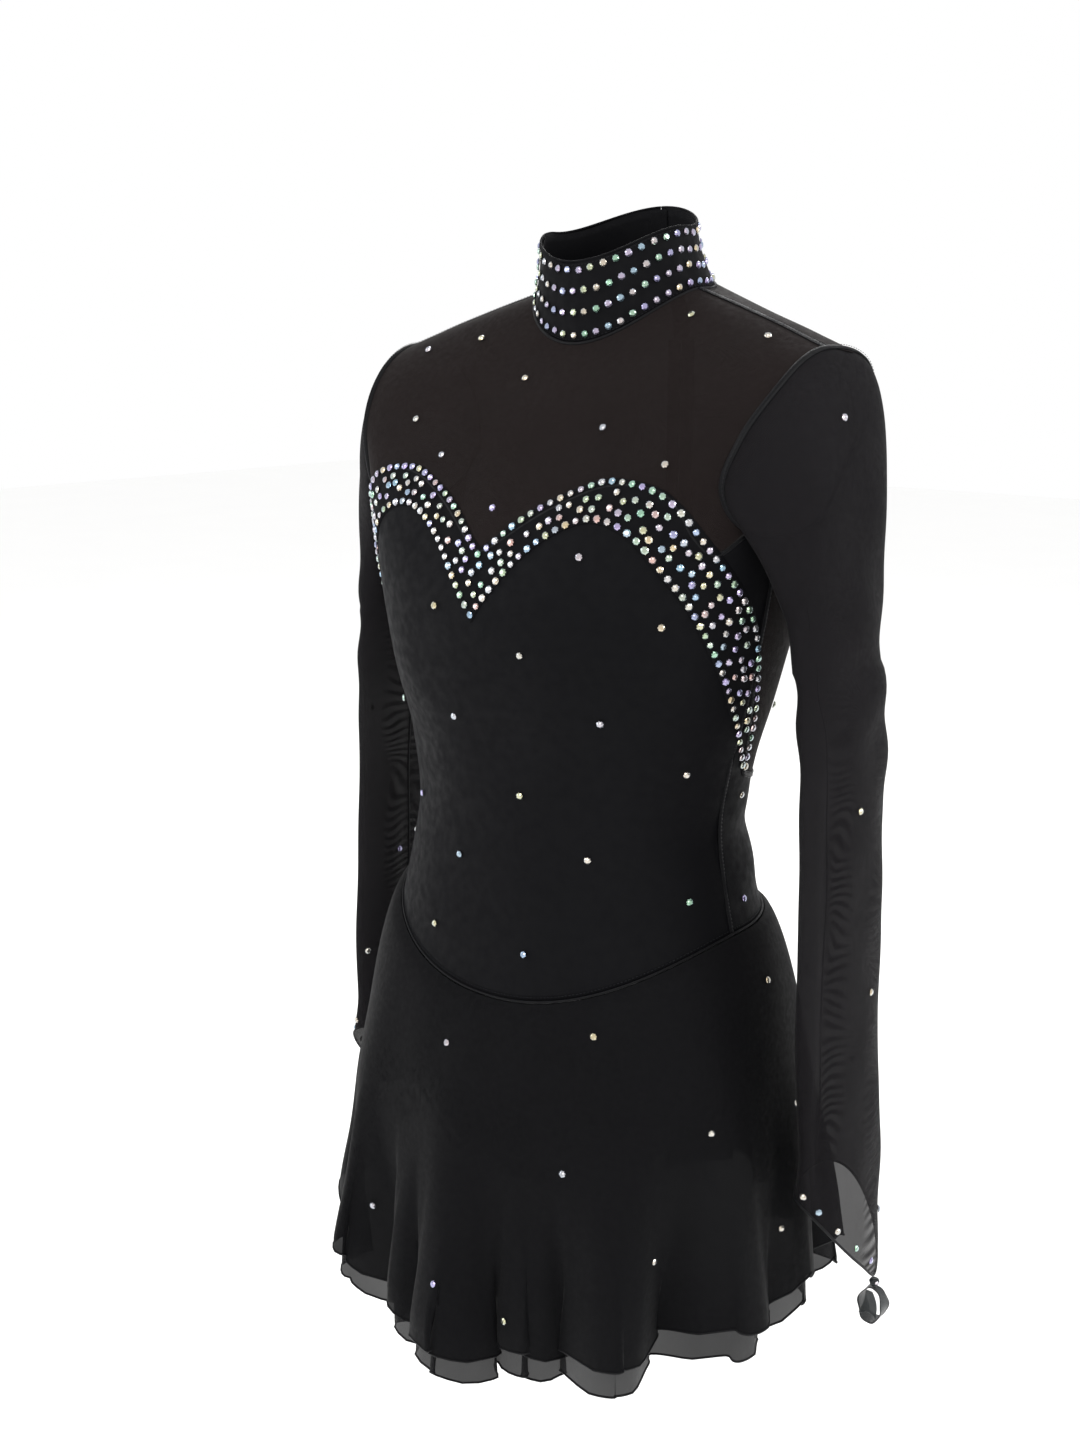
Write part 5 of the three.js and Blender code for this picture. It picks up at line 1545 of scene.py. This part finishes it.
    def _cuff(self, body: str) -> None:
        """Makes the rolled edge of the cuff."""
        turn = np.linspace(0, 2 * math.pi, 90, endpoint=False)
        path = self.point(turn, np.ones(90))
        cord = make_cord(f"{self.side.word}_cuff_roll", path, 0.85, 8)
        self.maker.dress(cord, self.wardrobe.trim, body, "seam_trim", f"{self.side.word}_cuff_edge")

    def _sleeve_seam(self) -> None:
        """Makes the fine seam along the inside of the sleeve, from the underarm to the cuff."""
        stances = [self.stance(self.seam_turn, float(w)) for w in np.linspace(0.01, 0.995, 140)]
        path, outs = np.array([s[0] for s in stances]), np.array([s[1] for s in stances])
        cord = make_cord(f"{self.side.word}_sleeve_seam", path + outs * 0.3, 0.9, 6, closed=False, flat=0.6)
        self.maker.dress(cord, self.wardrobe.trim, "", "seam_trim")
        self._bend(cord)

    def _crystals(self) -> None:
        """Scatters the sleeve's crystals, with a few more along the cuff."""
        draw = np.random.default_rng(50 + self.side.value)
        run = stone_run(self.stone_radius)
        for degrees, w in [*self.stones, *((turn, self.cuff_row) for turn in self.cuff_stones)]:
            at, out = self.stance(float(degrees), float(w))
            run.place(at + out * 0.3, unit(out + draw.normal(scale=0.1, size=3)), draw.normal(size=3))
        self._bend(self.maker.crystals(run, f"{self.side.word}_sleeve_crystals", ""))


@dataclass
class FingerLoop(Part):
    """The knot at the cuff's point, with its organza finger loop and ribbon tail."""

    side: Side
    knot: float = 3.4
    half_wide: float = 9.0
    half_high: float = 13.0
    ribbon: float = 12.0
    stone_radius: float = 1.5

    def make(self) -> None:
        """Makes the knot, the loop and the tail."""
        word = self.side.word
        self._knot(f"{word}_cuff_knot", f"{word}_sleeve_tube")
        self._loop(f"{word}_finger_loop", f"{word}_loop")
        self._tail(f"{word}_loop_tail", f"{word}_loop")

    @staticmethod
    def _centre(node: str) -> tuple[Array, Array]:
        """The middle and the half sizes of a node's box, in mm."""
        low, high = (np.array(c, float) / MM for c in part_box(node))
        return (low + high) / 2, (high - low) / 2

    def _knot(self, node: str, body: str) -> None:
        """Makes the tied knot, three turns of ribbon drawn tight."""
        centre, _ = self._centre(node)
        parts = []
        for turn, (tilt, spin) in enumerate(((0.35, 0.0), (-0.5, 1.2), (0.1, 2.3))):
            t = np.linspace(0, 2 * math.pi, 40, endpoint=False)
            ring = np.stack([np.cos(t), np.sin(t), tilt * np.sin(2 * t + spin)], axis=-1) * (self.knot * 0.62)
            turned = ring @ np.array([[math.cos(spin), 0, math.sin(spin)], [0, 1, 0],
                                      [-math.sin(spin), 0, math.cos(spin)]])
            parts.append(make_cord(f"{node}_wrap_{turn + 1}", centre + turned, self.knot * 0.42, 10))
        for part in parts:
            self.maker.dress(part, self.wardrobe.organza, body, "organza")
        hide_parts(node)
        stone = stone_run(self.stone_radius)
        out = np.array([self.side.value, -0.7, 0.2])
        stone.place(centre + [self.side.value * 2.6, -1.6, 0.6], out, np.array([0, 0, 1.0]))
        self.maker.crystals(stone, f"{node}_crystal", body)

    def _loop(self, node: str, body: str) -> None:
        """Makes the ribbon ring for the finger."""
        centre, _ = self._centre(node)

        def surface(u: Array, w: Array) -> Array:
            t = 2 * math.pi * u + math.pi / 2
            pinch = mix(0.35, 1.0, np.clip((1 - np.sin(t)) / 0.9, 0, 1) ** 0.6)
            x = (self.half_wide - 0.4) * np.cos(t) * (1 + 0.05 * np.sin(3 * t))
            z = (self.half_high - 0.4) * np.sin(t)
            y = mix(-self.ribbon / 2, self.ribbon / 2, w) * pinch
            wave = 0.5 * np.sin(5 * t + 2 * w) * (2 * w - 1)
            return centre + np.stack([x + wave, y, z + wave * 0.6], axis=-1)

        loop = make_cloth(f"{node}_ribbon", surface, 72, 8, wraps=True, around=(centre[0], centre[1]),
                          thick=0.25)
        self.maker.dress(loop, self.wardrobe.organza, body, "organza", node)
        for k, w in enumerate((0.0, 1.0)):
            u = np.linspace(0, 1, 72, endpoint=False)
            edge = make_cord(f"{node}_edge_{k + 1}", surface(u, np.full(72, w)), 0.3, 6)
            self.maker.dress(edge, self.wardrobe.thread, body, "organza")

    def _tail(self, node: str, body: str) -> None:
        """Makes the ribbon's free end."""
        centre, half = self._centre(node)

        def surface(u: Array, w: Array) -> Array:
            wide = mix(0.35, 1.0, w**0.7) * half[0]
            notch = 3.2 * (1 - np.abs(2 * u - 1)) * smooth(0.8, 1.0, w)
            z = centre[2] + half[2] - w * 2 * half[2] + notch
            x = centre[0] + mix(-1, 1, u) * wide + 1.2 * np.sin(4 * w)
            y = centre[1] + 0.9 * np.sin(6 * u + 3 * w) * w
            return np.stack([x, y, z], axis=-1)

        tail = make_cloth(f"{node}_ribbon", surface, 14, 22, around=(centre[0], centre[1] + 10), thick=0.25)
        self.maker.dress(tail, self.wardrobe.organza, body, "organza", node)


# ---- skirt ----


@dataclass
class Skirt(Part):
    """Two layers of fluted chiffon with rolled hems, the shorter one outside."""

    side_hem: float = 690.0
    front_dip: float = 38.0
    hem_turn: float = 20.0
    hip_rise: float = 80.0
    rise_turn: float = 85.0
    side_half: float = 188.0
    front_reach: float = 190.0
    back_reach: float = 126.0
    full_drop: float = 685.0
    under_shows: float = 22.0
    layer_gap: float = 5.0
    columns: int = 420
    rows: int = 56
    flute_depth: float = 13.0
    flutes: int = 9
    ruffles: int = 17
    ruffle_out: float = 8.0
    ruffle_in: float = 25.0
    ruffle_rise: float = 6.0
    stitch_rise: float = 0.07
    stone_radius: float = 2.5
    stones: Sequence[tuple[float, float]] = (
        (-5, 0.14), (34, 0.09), (93, 0.13), (66, 0.45), (27, 0.44), (-27, 0.77), (49, 0.74), (0, 0.81),
        (14, 0.91), (90, 0.8), (-75, 0.45), (120, 0.5), (150, 0.75), (180, 0.4), (-150, 0.7),
        (-120, 0.45),
    )

    def hem_drop(self, phi: Array) -> Array:
        """The drop of the longer layer's hem."""
        dip = np.maximum(np.cos(np.radians(phi + self.hem_turn)), 0) ** 1.6
        rise = np.maximum(np.cos(np.radians(phi + self.rise_turn)), 0) ** 4
        return self.side_hem + self.front_dip * dip - self.hip_rise * rise

    def point(self, phi: Array, t: Array, inward: float, shorter: float, phase: float = 0.0) -> Array:
        """Points of a layer.

        Args:
            phi: Angles in degrees.
            t: Shares of the way from the waist seam to the hem.
            inward: How far inside the outer layer it hangs, in mm.
            shorter: How much shorter than the longest it is, in mm.
            phase: A turn of its small ruffles, in radians.

        Returns:
            The points, in mm.
        """
        shape = self.shape
        angle = np.radians(phi)
        ruffle = self.ruffles * angle + 1.7 * np.sin(2 * angle + 0.6) + 0.9 * np.sin(3 * angle) + phase
        near_hem = smooth(0.35, 1.08, t) ** 1.5
        shifted = phi + np.degrees(0.045) * np.sin(2 * ruffle) * near_hem
        start = shape.point(phi, shape.waist_seam(phi) + 0.06)
        zero = np.zeros_like(shifted)
        loop = np.stack([zero + self.side_half, zero + shape.centre_y, zero - self.front_reach,
                         zero + self.back_reach, zero, zero, zero, zero + 2.25], axis=-1)
        hem = WornShape.on_loop(loop, shifted)
        drop = self.hem_drop(phi) - shorter
        spread = np.minimum(t * (drop + start[..., 2]) / (self.full_drop + start[..., 2]), 1) ** 0.6
        sideness = np.abs(np.sin(angle)) ** 5
        calm = 1 - 0.85 * sideness
        flutes = np.cos(self.flutes * angle + np.radians(25) * np.sin(angle))
        flute = self.flute_depth * t**1.5 * calm * flutes
        wave = np.sin(ruffle) + 0.15 * np.sin(3 * ruffle) + 0.25 * np.sin(5 * angle + 1)
        deep = np.where(wave > 0, self.ruffle_out, self.ruffle_in) * near_hem * (1 - 0.35 * sideness)
        away = unit(np.stack([start[..., 0], start[..., 1] - shape.centre_y, zero], axis=-1))
        bottom = self.ruffle_rise * np.sin(ruffle + 0.5) - drop
        x = mix(start[..., 0], hem[..., 0], spread)
        y = mix(start[..., 1], hem[..., 1], spread)
        z = mix(start[..., 2], bottom, t)
        out = flute + deep * wave - inward * np.minimum(1, 3 * t)
        return np.stack([x, y, z], axis=-1) + away * out[..., None]

    def make(self) -> None:
        """Makes both layers, their hems, the waist seam and the scattered crystals."""
        self._layer("skirt_outer", 0.0, self.under_shows, 2.4, 0.0)
        self._layer("skirt_inner", self.layer_gap, 0.0, 1.0, 0.2)
        self._waist()
        self._crystals()

    def _layer(self, node: str, inward: float, shorter: float, offset: float, phase: float) -> None:
        """Makes one layer and its rolled hem."""
        maker = self.maker
        soft = Unevenness(61 if inward else 60, 0.9, 60, (1, 1, 0.4))

        def surface(u: Array, w: Array) -> Array:
            return self.point(360 * u - 180, w, inward, shorter, phase)

        layer = make_cloth(f"{node}_chiffon", surface, self.columns, self.rows, wraps=True, offset=offset,
                           lift=lambda u, w, p: soft(p) * smooth(0.1, 0.6, w))
        chiffon = self.wardrobe.under_chiffon if inward else self.wardrobe.chiffon
        maker.dress(layer, chiffon, "dress", "chiffon", node)
        points = np.array([v.co for v in layer.data.vertices]).reshape(self.rows + 1, -1, 3)[-1] / MM
        hem = make_cord(f"{node}_rolled_hem", points, 0.75, 6)
        maker.dress(hem, self.wardrobe.trim, "dress", "seam_trim", f"{node}_hem")

    def _waist(self) -> None:
        """Makes the corded seam at the waist with its stitches."""
        maker, shape = self.maker, self.shape
        phi = np.linspace(-180, 180, 240, endpoint=False)
        path, outs = shape.stances(phi, shape.waist_seam(phi))
        cord = make_cord("waist_seam_cord", path + outs * 0.6, 0.8, 8)
        maker.dress(cord, self.wardrobe.trim, "dress", "seam_trim", "waist_piping")
        line, ways = shape.stances(phi, shape.waist_seam(phi) - self.stitch_rise)
        maker.stitch("waist_stitches", line + ways * 0.25, ways, "dress", closed=True)

    def _crystals(self) -> None:
        """Scatters crystals over the outer layer."""
        draw = np.random.default_rng(71)
        run = stone_run(self.stone_radius)
        step = 0.4
        for phi, t in self.stones:
            angles = np.array([phi - step, phi, phi + step])
            rows = [self.point(angles, np.full(3, t + k * 0.004), 0.0, self.under_shows) for k in (-1, 0, 1)]
            out = unit(np.cross(rows[2][1] - rows[0][1], rows[1][2] - rows[1][0]))
            run.place(rows[1][1] + out * 2.9, unit(out + draw.normal(scale=0.12, size=3)),
                      draw.normal(size=3))
        self.maker.crystals(run, "skirt_crystals", "dress")


# ---- briefs ----


@dataclass
class Briefs(Part):
    """The attached briefs: front, back, gusset and the elastic at each leg."""

    inset: float = 3.0
    gusset_level: float = 16.6
    gusset_half: float = 32.0
    elastic: float = 1.9
    elastic_drop: float = 4.0
    seam_share: float = 0.2
    seam_end: float = 13.6

    def _low_phi(self) -> float:
        """The angle of the gusset's side at the lowest level."""
        half = float(self.shape.loop(np.array(self.gusset_level))[0])
        return math.degrees(math.asin(self.gusset_half / half))

    def _edge(self, w: Array) -> tuple[Array, Array]:
        """The edge of the front or back: a short side seam, then the leg opening."""
        seam_share, seam_end = self.seam_share, self.seam_end
        seam_phi = self.shape.SEAM_PHI
        t = np.clip((w - seam_share) / (1 - seam_share), 0, 1)
        start = float(self.shape.waist_seam(seam_phi)) + 0.5
        phi = mix(seam_phi, self._low_phi(), np.sin(np.pi / 2 * t) ** 0.9)
        v = mix(seam_end, self.gusset_level, t**1.35)
        seam_v = mix(start, seam_end, w / seam_share)
        return np.where(w < seam_share, seam_phi, phi), np.where(w < seam_share, seam_v, v)

    def point(self, front: bool, across: Array, w: Array) -> Array:
        """Points of the front or back panel."""
        shape = self.shape
        edge_phi, edge_v = self._edge(w)
        share = np.abs(across)
        centre = mix(float(shape.waist_seam(0.0 if front else 180.0)) + 0.5, self.gusset_level, w)
        top = (shape.waist_seam(edge_phi * share) if front
               else shape.waist_seam(np.full(w.shape, 180.0))) + 0.5
        v = mix(centre, edge_v, share**2)
        v = np.where(w < 0.001, top, v)
        phi = edge_phi * across
        return shape.point(phi if front else 180.0 - phi, v)

    def make(self) -> None:
        """Makes the panels, the gusset and the elastics."""
        maker = self.maker
        for front, word in ((True, "front"), (False, "back")):
            pull = Unevenness(81 if front else 82, 0.7, 60)
            panel = make_cloth(f"briefs_{word}_cloth", lambda u, w, f=front: self.point(f, 2 * u - 1, w), 80,
                               44,
                               offset=-self.inset, lift=lambda u, w, p, e=pull: e(p) * np.sin(np.pi * w),
                               thick=0.7)
            maker.dress(panel, self.wardrobe.stretch, "dress", "stretch_fabric", f"briefs_{word}")
        self._gusset()
        for side in Side:
            self._elastic(side)

    def _gusset(self) -> None:
        """Makes the gusset, hung between the front and the back."""
        shape = self.shape
        loop = shape.loop(np.array(self.gusset_level))
        phi = self._low_phi()
        front, back = shape.on_loop(loop, np.array(phi)), shape.on_loop(loop, np.array(180.0 - phi))
        knots = np.array([[front[1] + 4, front[2] - 2], [front[1] + 22, front[2] - 24],
                          [back[1] - 26, back[2] - 24], [back[1] - 4, back[2] - 2]])

        def surface(u: Array, w: Array) -> Array:
            weights = [(1 - w) ** 3, 3 * w * (1 - w) ** 2, 3 * w * w * (1 - w), w**3]
            y = sum(k * knot[0] for k, knot in zip(weights, knots))
            z = sum(k * knot[1] for k, knot in zip(weights, knots))
            x = mix(-self.gusset_half, self.gusset_half, u) * (1 - 0.25 * np.sin(np.pi * w))
            return np.stack([x, y, z + 1.5 * np.cos(np.pi * (2 * u - 1))], axis=-1)

        gusset = make_cloth("briefs_gusset_cloth", surface, 24, 30, thick=0.7)
        self.maker.dress(gusset, self.wardrobe.stretch, "dress", "stretch_fabric", "briefs_gusset")

    def _elastic(self, side: Side) -> None:
        """Makes the elastic round one leg opening."""
        shape = self.shape
        shares = np.array([0, 0.14, 0.28, 0.42, 0.56, 0.7, 0.84])
        phi, v = self._edge(mix(self.seam_share, 1.0, shares))
        front = shape.point(phi, v) - [0, 0, self.elastic_drop]
        back = shape.point(180.0 - phi[1:], v[1:]) - [0, 0, self.elastic_drop]
        low, low_phi = self.gusset_level, self._low_phi()
        near, far = shape.point(low_phi, low), shape.point(180.0 - low_phi, low)
        outside = self.gusset_half + 6
        under = np.array([[outside, near[1] + 8, near[2] - 4],
                          [outside - 6, (near[1] + far[1]) / 2, near[2] - 17],
                          [outside, far[1] - 8, near[2] - 4]])
        corners = np.concatenate([front, under, back[::-1]])
        count = 150
        path = round_path(corners, count) * [side.value, 1, 1]
        gathers = 0.35 * np.sin(np.arange(count) * 2.1)[:, None] * [0.2, 0.2, 1.0]
        cord = make_cord(f"{side.word}_leg_elastic_roll", path + gathers, self.elastic, 8)
        self.maker.dress(cord, self.wardrobe.trim, "dress", "seam_trim", f"{side.word}_leg_elastic")


def round_path(corners: Array, count: int) -> Array:
    """A smooth closed line through some corners.

    Args:
        corners: The corners, in order.
        count: How many points the line gets.

    Returns:
        The line's points.
    """
    size = len(corners)
    t = np.arange(count) / count * size
    k = np.floor(t).astype(int)
    f = (t - k)[:, None]
    a, b, d, e = (corners[(k + i) % size] for i in (-1, 0, 1, 2))
    return bend_through(a, b, d, e, f)


# ---- zip ----


@dataclass
class BackZip(Part):
    """The zip at the centre back: woven tapes, coil teeth, and the metal slider, tab and stops."""

    tooth_pitch: float = 1.35

    def make(self) -> None:
        """Makes the tapes and the teeth, and gives the metal pieces their finish."""
        for side in Side:
            self._tape(side)
        self._teeth()
        self.maker.enamel("zip_slider", "zip_pull_tab", "zip_top_stop", "zip_bottom_stop")

    def _tape(self, side: Side) -> None:
        """Makes one woven tape with a line of stitches."""
        node = f"{side.word}_zip_tape"
        low, high = (np.array(c, float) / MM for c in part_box(node))

        def surface(u: Array, w: Array) -> Array:
            x = mix(low[0], high[0], u)
            ribs = 0.08 * np.sin(u * 40)
            return np.stack([x, high[1] + ribs, mix(high[2], low[2], w)], axis=-1)

        tape = make_cloth(f"{node}_weave", surface, 24, 90, thick=0.6)
        self.maker.dress(tape, self.wardrobe.tape, "dress", "zip_nylon", node)
        z = np.linspace(high[2] - 2, low[2] + 2, 80)
        x = side.value * (abs(high[0]) + abs(low[0])) * 0.62
        path = np.stack([np.full(80, x), np.full(80, high[1] + 0.1), z], axis=-1)
        self.maker.stitch(f"{node}_stitches", path, np.tile([0.0, 1.0, 0.0], (80, 1)), "dress")

    def _teeth(self) -> None:
        """Makes two meshed rows of coil teeth."""
        low, high = (np.array(c, float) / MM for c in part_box("zip_chain"))
        length = (high[0] - low[0]) * 0.62
        run = stitch_run(length, 1.15)
        count = int((high[2] - low[2]) / self.tooth_pitch) - 1
        out, y = np.array([0.0, 1.0, 0.0]), mix(low[1], high[1], 0.35)
        for k in range(count):
            z = low[2] + (k + 0.8) * self.tooth_pitch
            for sign in (1, -1):
                spot = np.array([sign * 0.62, y, z + (0.5 * self.tooth_pitch if sign > 0 else 0)])
                run.place(spot, out, np.array([1.0, 0.0, 0.22 * sign]))
        height = np.linspace(low[2] + 0.5, high[2] - 0.5, 40)
        core = np.stack([np.zeros(40), np.full(40, low[1] + 0.3), height], axis=-1)
        cord = make_cord("zip_coil_core", core, 0.9, 6, closed=False, flat=0.5)
        self.maker.dress(cord, self.wardrobe.nylon, "dress", "zip_nylon")
        teeth = run.make("zip_coil_teeth", True)
        self.maker.dress(teeth, self.wardrobe.nylon, "dress", "zip_nylon", "zip_chain")


# ---- scattered crystals ----


@dataclass
class ScatteredCrystals(Part):
    """The single crystals over the yoke and the bodice, front and back."""

    radius: float = 2.5
    yoke: Sequence[tuple[float, float]] = (
        (-60, 2.0), (-47.5, 1.1), (-10, 1.3), (-30, 2.9), (17.5, 2.5), (-15, 3.4), (32.5, 3.9), (0, 4.5),
        (60, 0.7), (72.5, 1.9),
    )
    bodice: Sequence[tuple[float, float]] = (
        (22.5, 5.5), (-10, 6.7), (50, 6.8), (12.5, 7.3), (-10, 8.3), (35, 8.1), (65, 8.9), (-42.5, 10.0),
        (10, 9.4), (97.5, 9.5), (-12.5, 10.6), (32.5, 10.3), (67.5, 10.9), (95, 11.1), (-20, 11.9),
        (12.5, 11.9), (-48, 8.4), (-70, 9.3), (-66, 10.9), (-97, 10.2),
    )
    back: Sequence[tuple[float, float]] = (
        (150, 2.2), (-148, 2.8), (125, 4.0), (-122, 4.6), (158, 5.4), (-160, 6.1), (135, 7.0),
        (-130, 7.6), (115, 8.2), (-150, 8.5), (140, 9.9), (-135, 10.4), (160, 11.0), (-110, 9.6),
    )

    def make(self) -> None:
        """Sets the crystals."""
        draw = np.random.default_rng(90)
        for name, spots in (("yoke_crystals", self.yoke), ("bodice_crystals", self.bodice),
                            ("back_crystals", self.back)):
            run = stone_run(self.radius)
            for phi, v in spots:
                point, out = self.shape.stance(float(phi), float(v))
                run.place(point + out * 0.7, unit(out + draw.normal(scale=0.08, size=3)), draw.normal(size=3))
            self.maker.crystals(run, name, "dress")


# ---- studio ----


@dataclass
class Studio:
    """A pale floor, soft lights and the camera."""

    azimuth: float = 37.0
    distance: float = 1.085
    height: float = -0.030
    pitch: float = 13.95
    yaw: float = 2.844
    lens: float = 51.67
    floor_z: float = -1.05

    def make(self) -> None:
        """Makes the whole studio."""
        self._camera()
        self._floor()
        self._world()
        self._light("key", (1.3, -2.2, 1.6), 1.6, 46.0, (1.0, 0.99, 0.97))
        self._light("fill", (-2.0, -1.8, 0.6), 1.8, 26.0, (0.97, 0.98, 1.0))
        self._light("rim", (2.2, 0.9, 0.9), 0.9, 30.0, (1.0, 1.0, 1.0))
        self._light("back", (-1.4, 2.0, 1.2), 1.2, 26.0, (1.0, 0.99, 0.98))
        self._light("sparkle", (0.7, -1.6, 0.25), 0.10, 3.2, (1.0, 1.0, 1.0))
        scene = bpy.context.scene
        scene.view_settings.view_transform = "Standard"

    def _camera(self) -> None:
        """Makes the camera."""
        angle, yaw, pitch = math.radians(self.azimuth), math.radians(self.yaw), math.radians(self.pitch)
        forward = np.array([-math.sin(angle), math.cos(angle), 0.0])
        right = np.array([math.cos(angle), math.sin(angle), 0.0])
        ahead = forward * math.cos(yaw) - right * math.sin(yaw)
        side = right * math.cos(yaw) + forward * math.sin(yaw)
        up = np.array([0.0, 0.0, 1.0])
        view = ahead * math.cos(pitch) - up * math.sin(pitch)
        top = up * math.cos(pitch) + ahead * math.sin(pitch)
        data = bpy.data.cameras.new("camera")
        data.sensor_fit = "HORIZONTAL"
        data.sensor_width = 36.0
        data.lens = self.lens
        camera = bpy.data.objects.new("camera", data)
        bpy.context.scene.collection.objects.link(camera)
        turn = Matrix((side, top, -view)).transposed().to_4x4()
        place = Vector((self.distance * math.sin(angle), -self.distance * math.cos(angle), self.height))
        camera.matrix_world = Matrix.Translation(place) @ turn
        bpy.context.scene.camera = camera

    def _floor(self) -> None:
        """Makes the pale floor."""
        mesh = bpy.data.meshes.new("floor")
        reach = 9.0
        corners = [(-reach, -reach, self.floor_z), (reach, -reach, self.floor_z),
                   (reach, reach, self.floor_z),
                   (-reach, reach, self.floor_z)]
        mesh.from_pydata(corners, [], [(0, 1, 2, 3)])
        floor = bpy.data.objects.new("floor", mesh)
        bpy.context.scene.collection.objects.link(floor)
        hand = NodeHand("pale floor")
        hand.feed("Base Color", hand.blend(hand.noise(3.0), (0.96, 0.96, 0.955, 1.0),
                                           (0.98, 0.98, 0.975, 1.0)))
        hand.feed("Roughness", 0.9)
        hand.feed("Specular IOR Level", 0.1)
        mesh.materials.append(hand.material)

    @staticmethod
    def _world() -> None:
        """Makes an even pale surround."""
        world = bpy.data.worlds.new("surround")
        world.use_nodes = True
        background = next(n for n in world.node_tree.nodes if n.type == "BACKGROUND")
        background.inputs[0].default_value = (1.0, 1.0, 1.0, 1.0)
        background.inputs[1].default_value = 1.0
        bpy.context.scene.world = world

    @staticmethod
    def _light(name: str, place: Sequence[float], size: float, power: float, colour: Colour) -> None:
        """Makes an area light that looks at the dress.

        Args:
            name: The light's name.
            place: Where it stands, in metres.
            size: Its width, in metres.
            power: Its power, in watts.
            colour: Its colour.
        """
        data = bpy.data.lights.new(name, "AREA")
        data.size = size
        data.energy = power
        data.color = colour
        light = bpy.data.objects.new(name, data)
        bpy.context.scene.collection.objects.link(light)
        light.location = place
        aim = Vector((0.0, -0.04, -0.35)) - Vector(place)
        light.rotation_euler = aim.to_track_quat("-Z", "Y").to_euler()


def main() -> None:
    """Makes the studio and every sub-assembly of the dress, in order."""
    logging.basicConfig(level=logging.INFO, format="%(name)s: %(message)s")
    Studio().make()
    maker = Maker(WornShape(WornSizes()), Wardrobe())
    parts = [Collar(maker), Bodice(maker), StoneBand(maker), Skirt(maker), Briefs(maker), BackZip(maker),
             ScatteredCrystals(maker)]
    for side in Side:
        parts += [Sleeve(maker, side), FingerLoop(maker, side)]
    for part in parts:
        part.make()


if __name__ == "__main__":
    main()
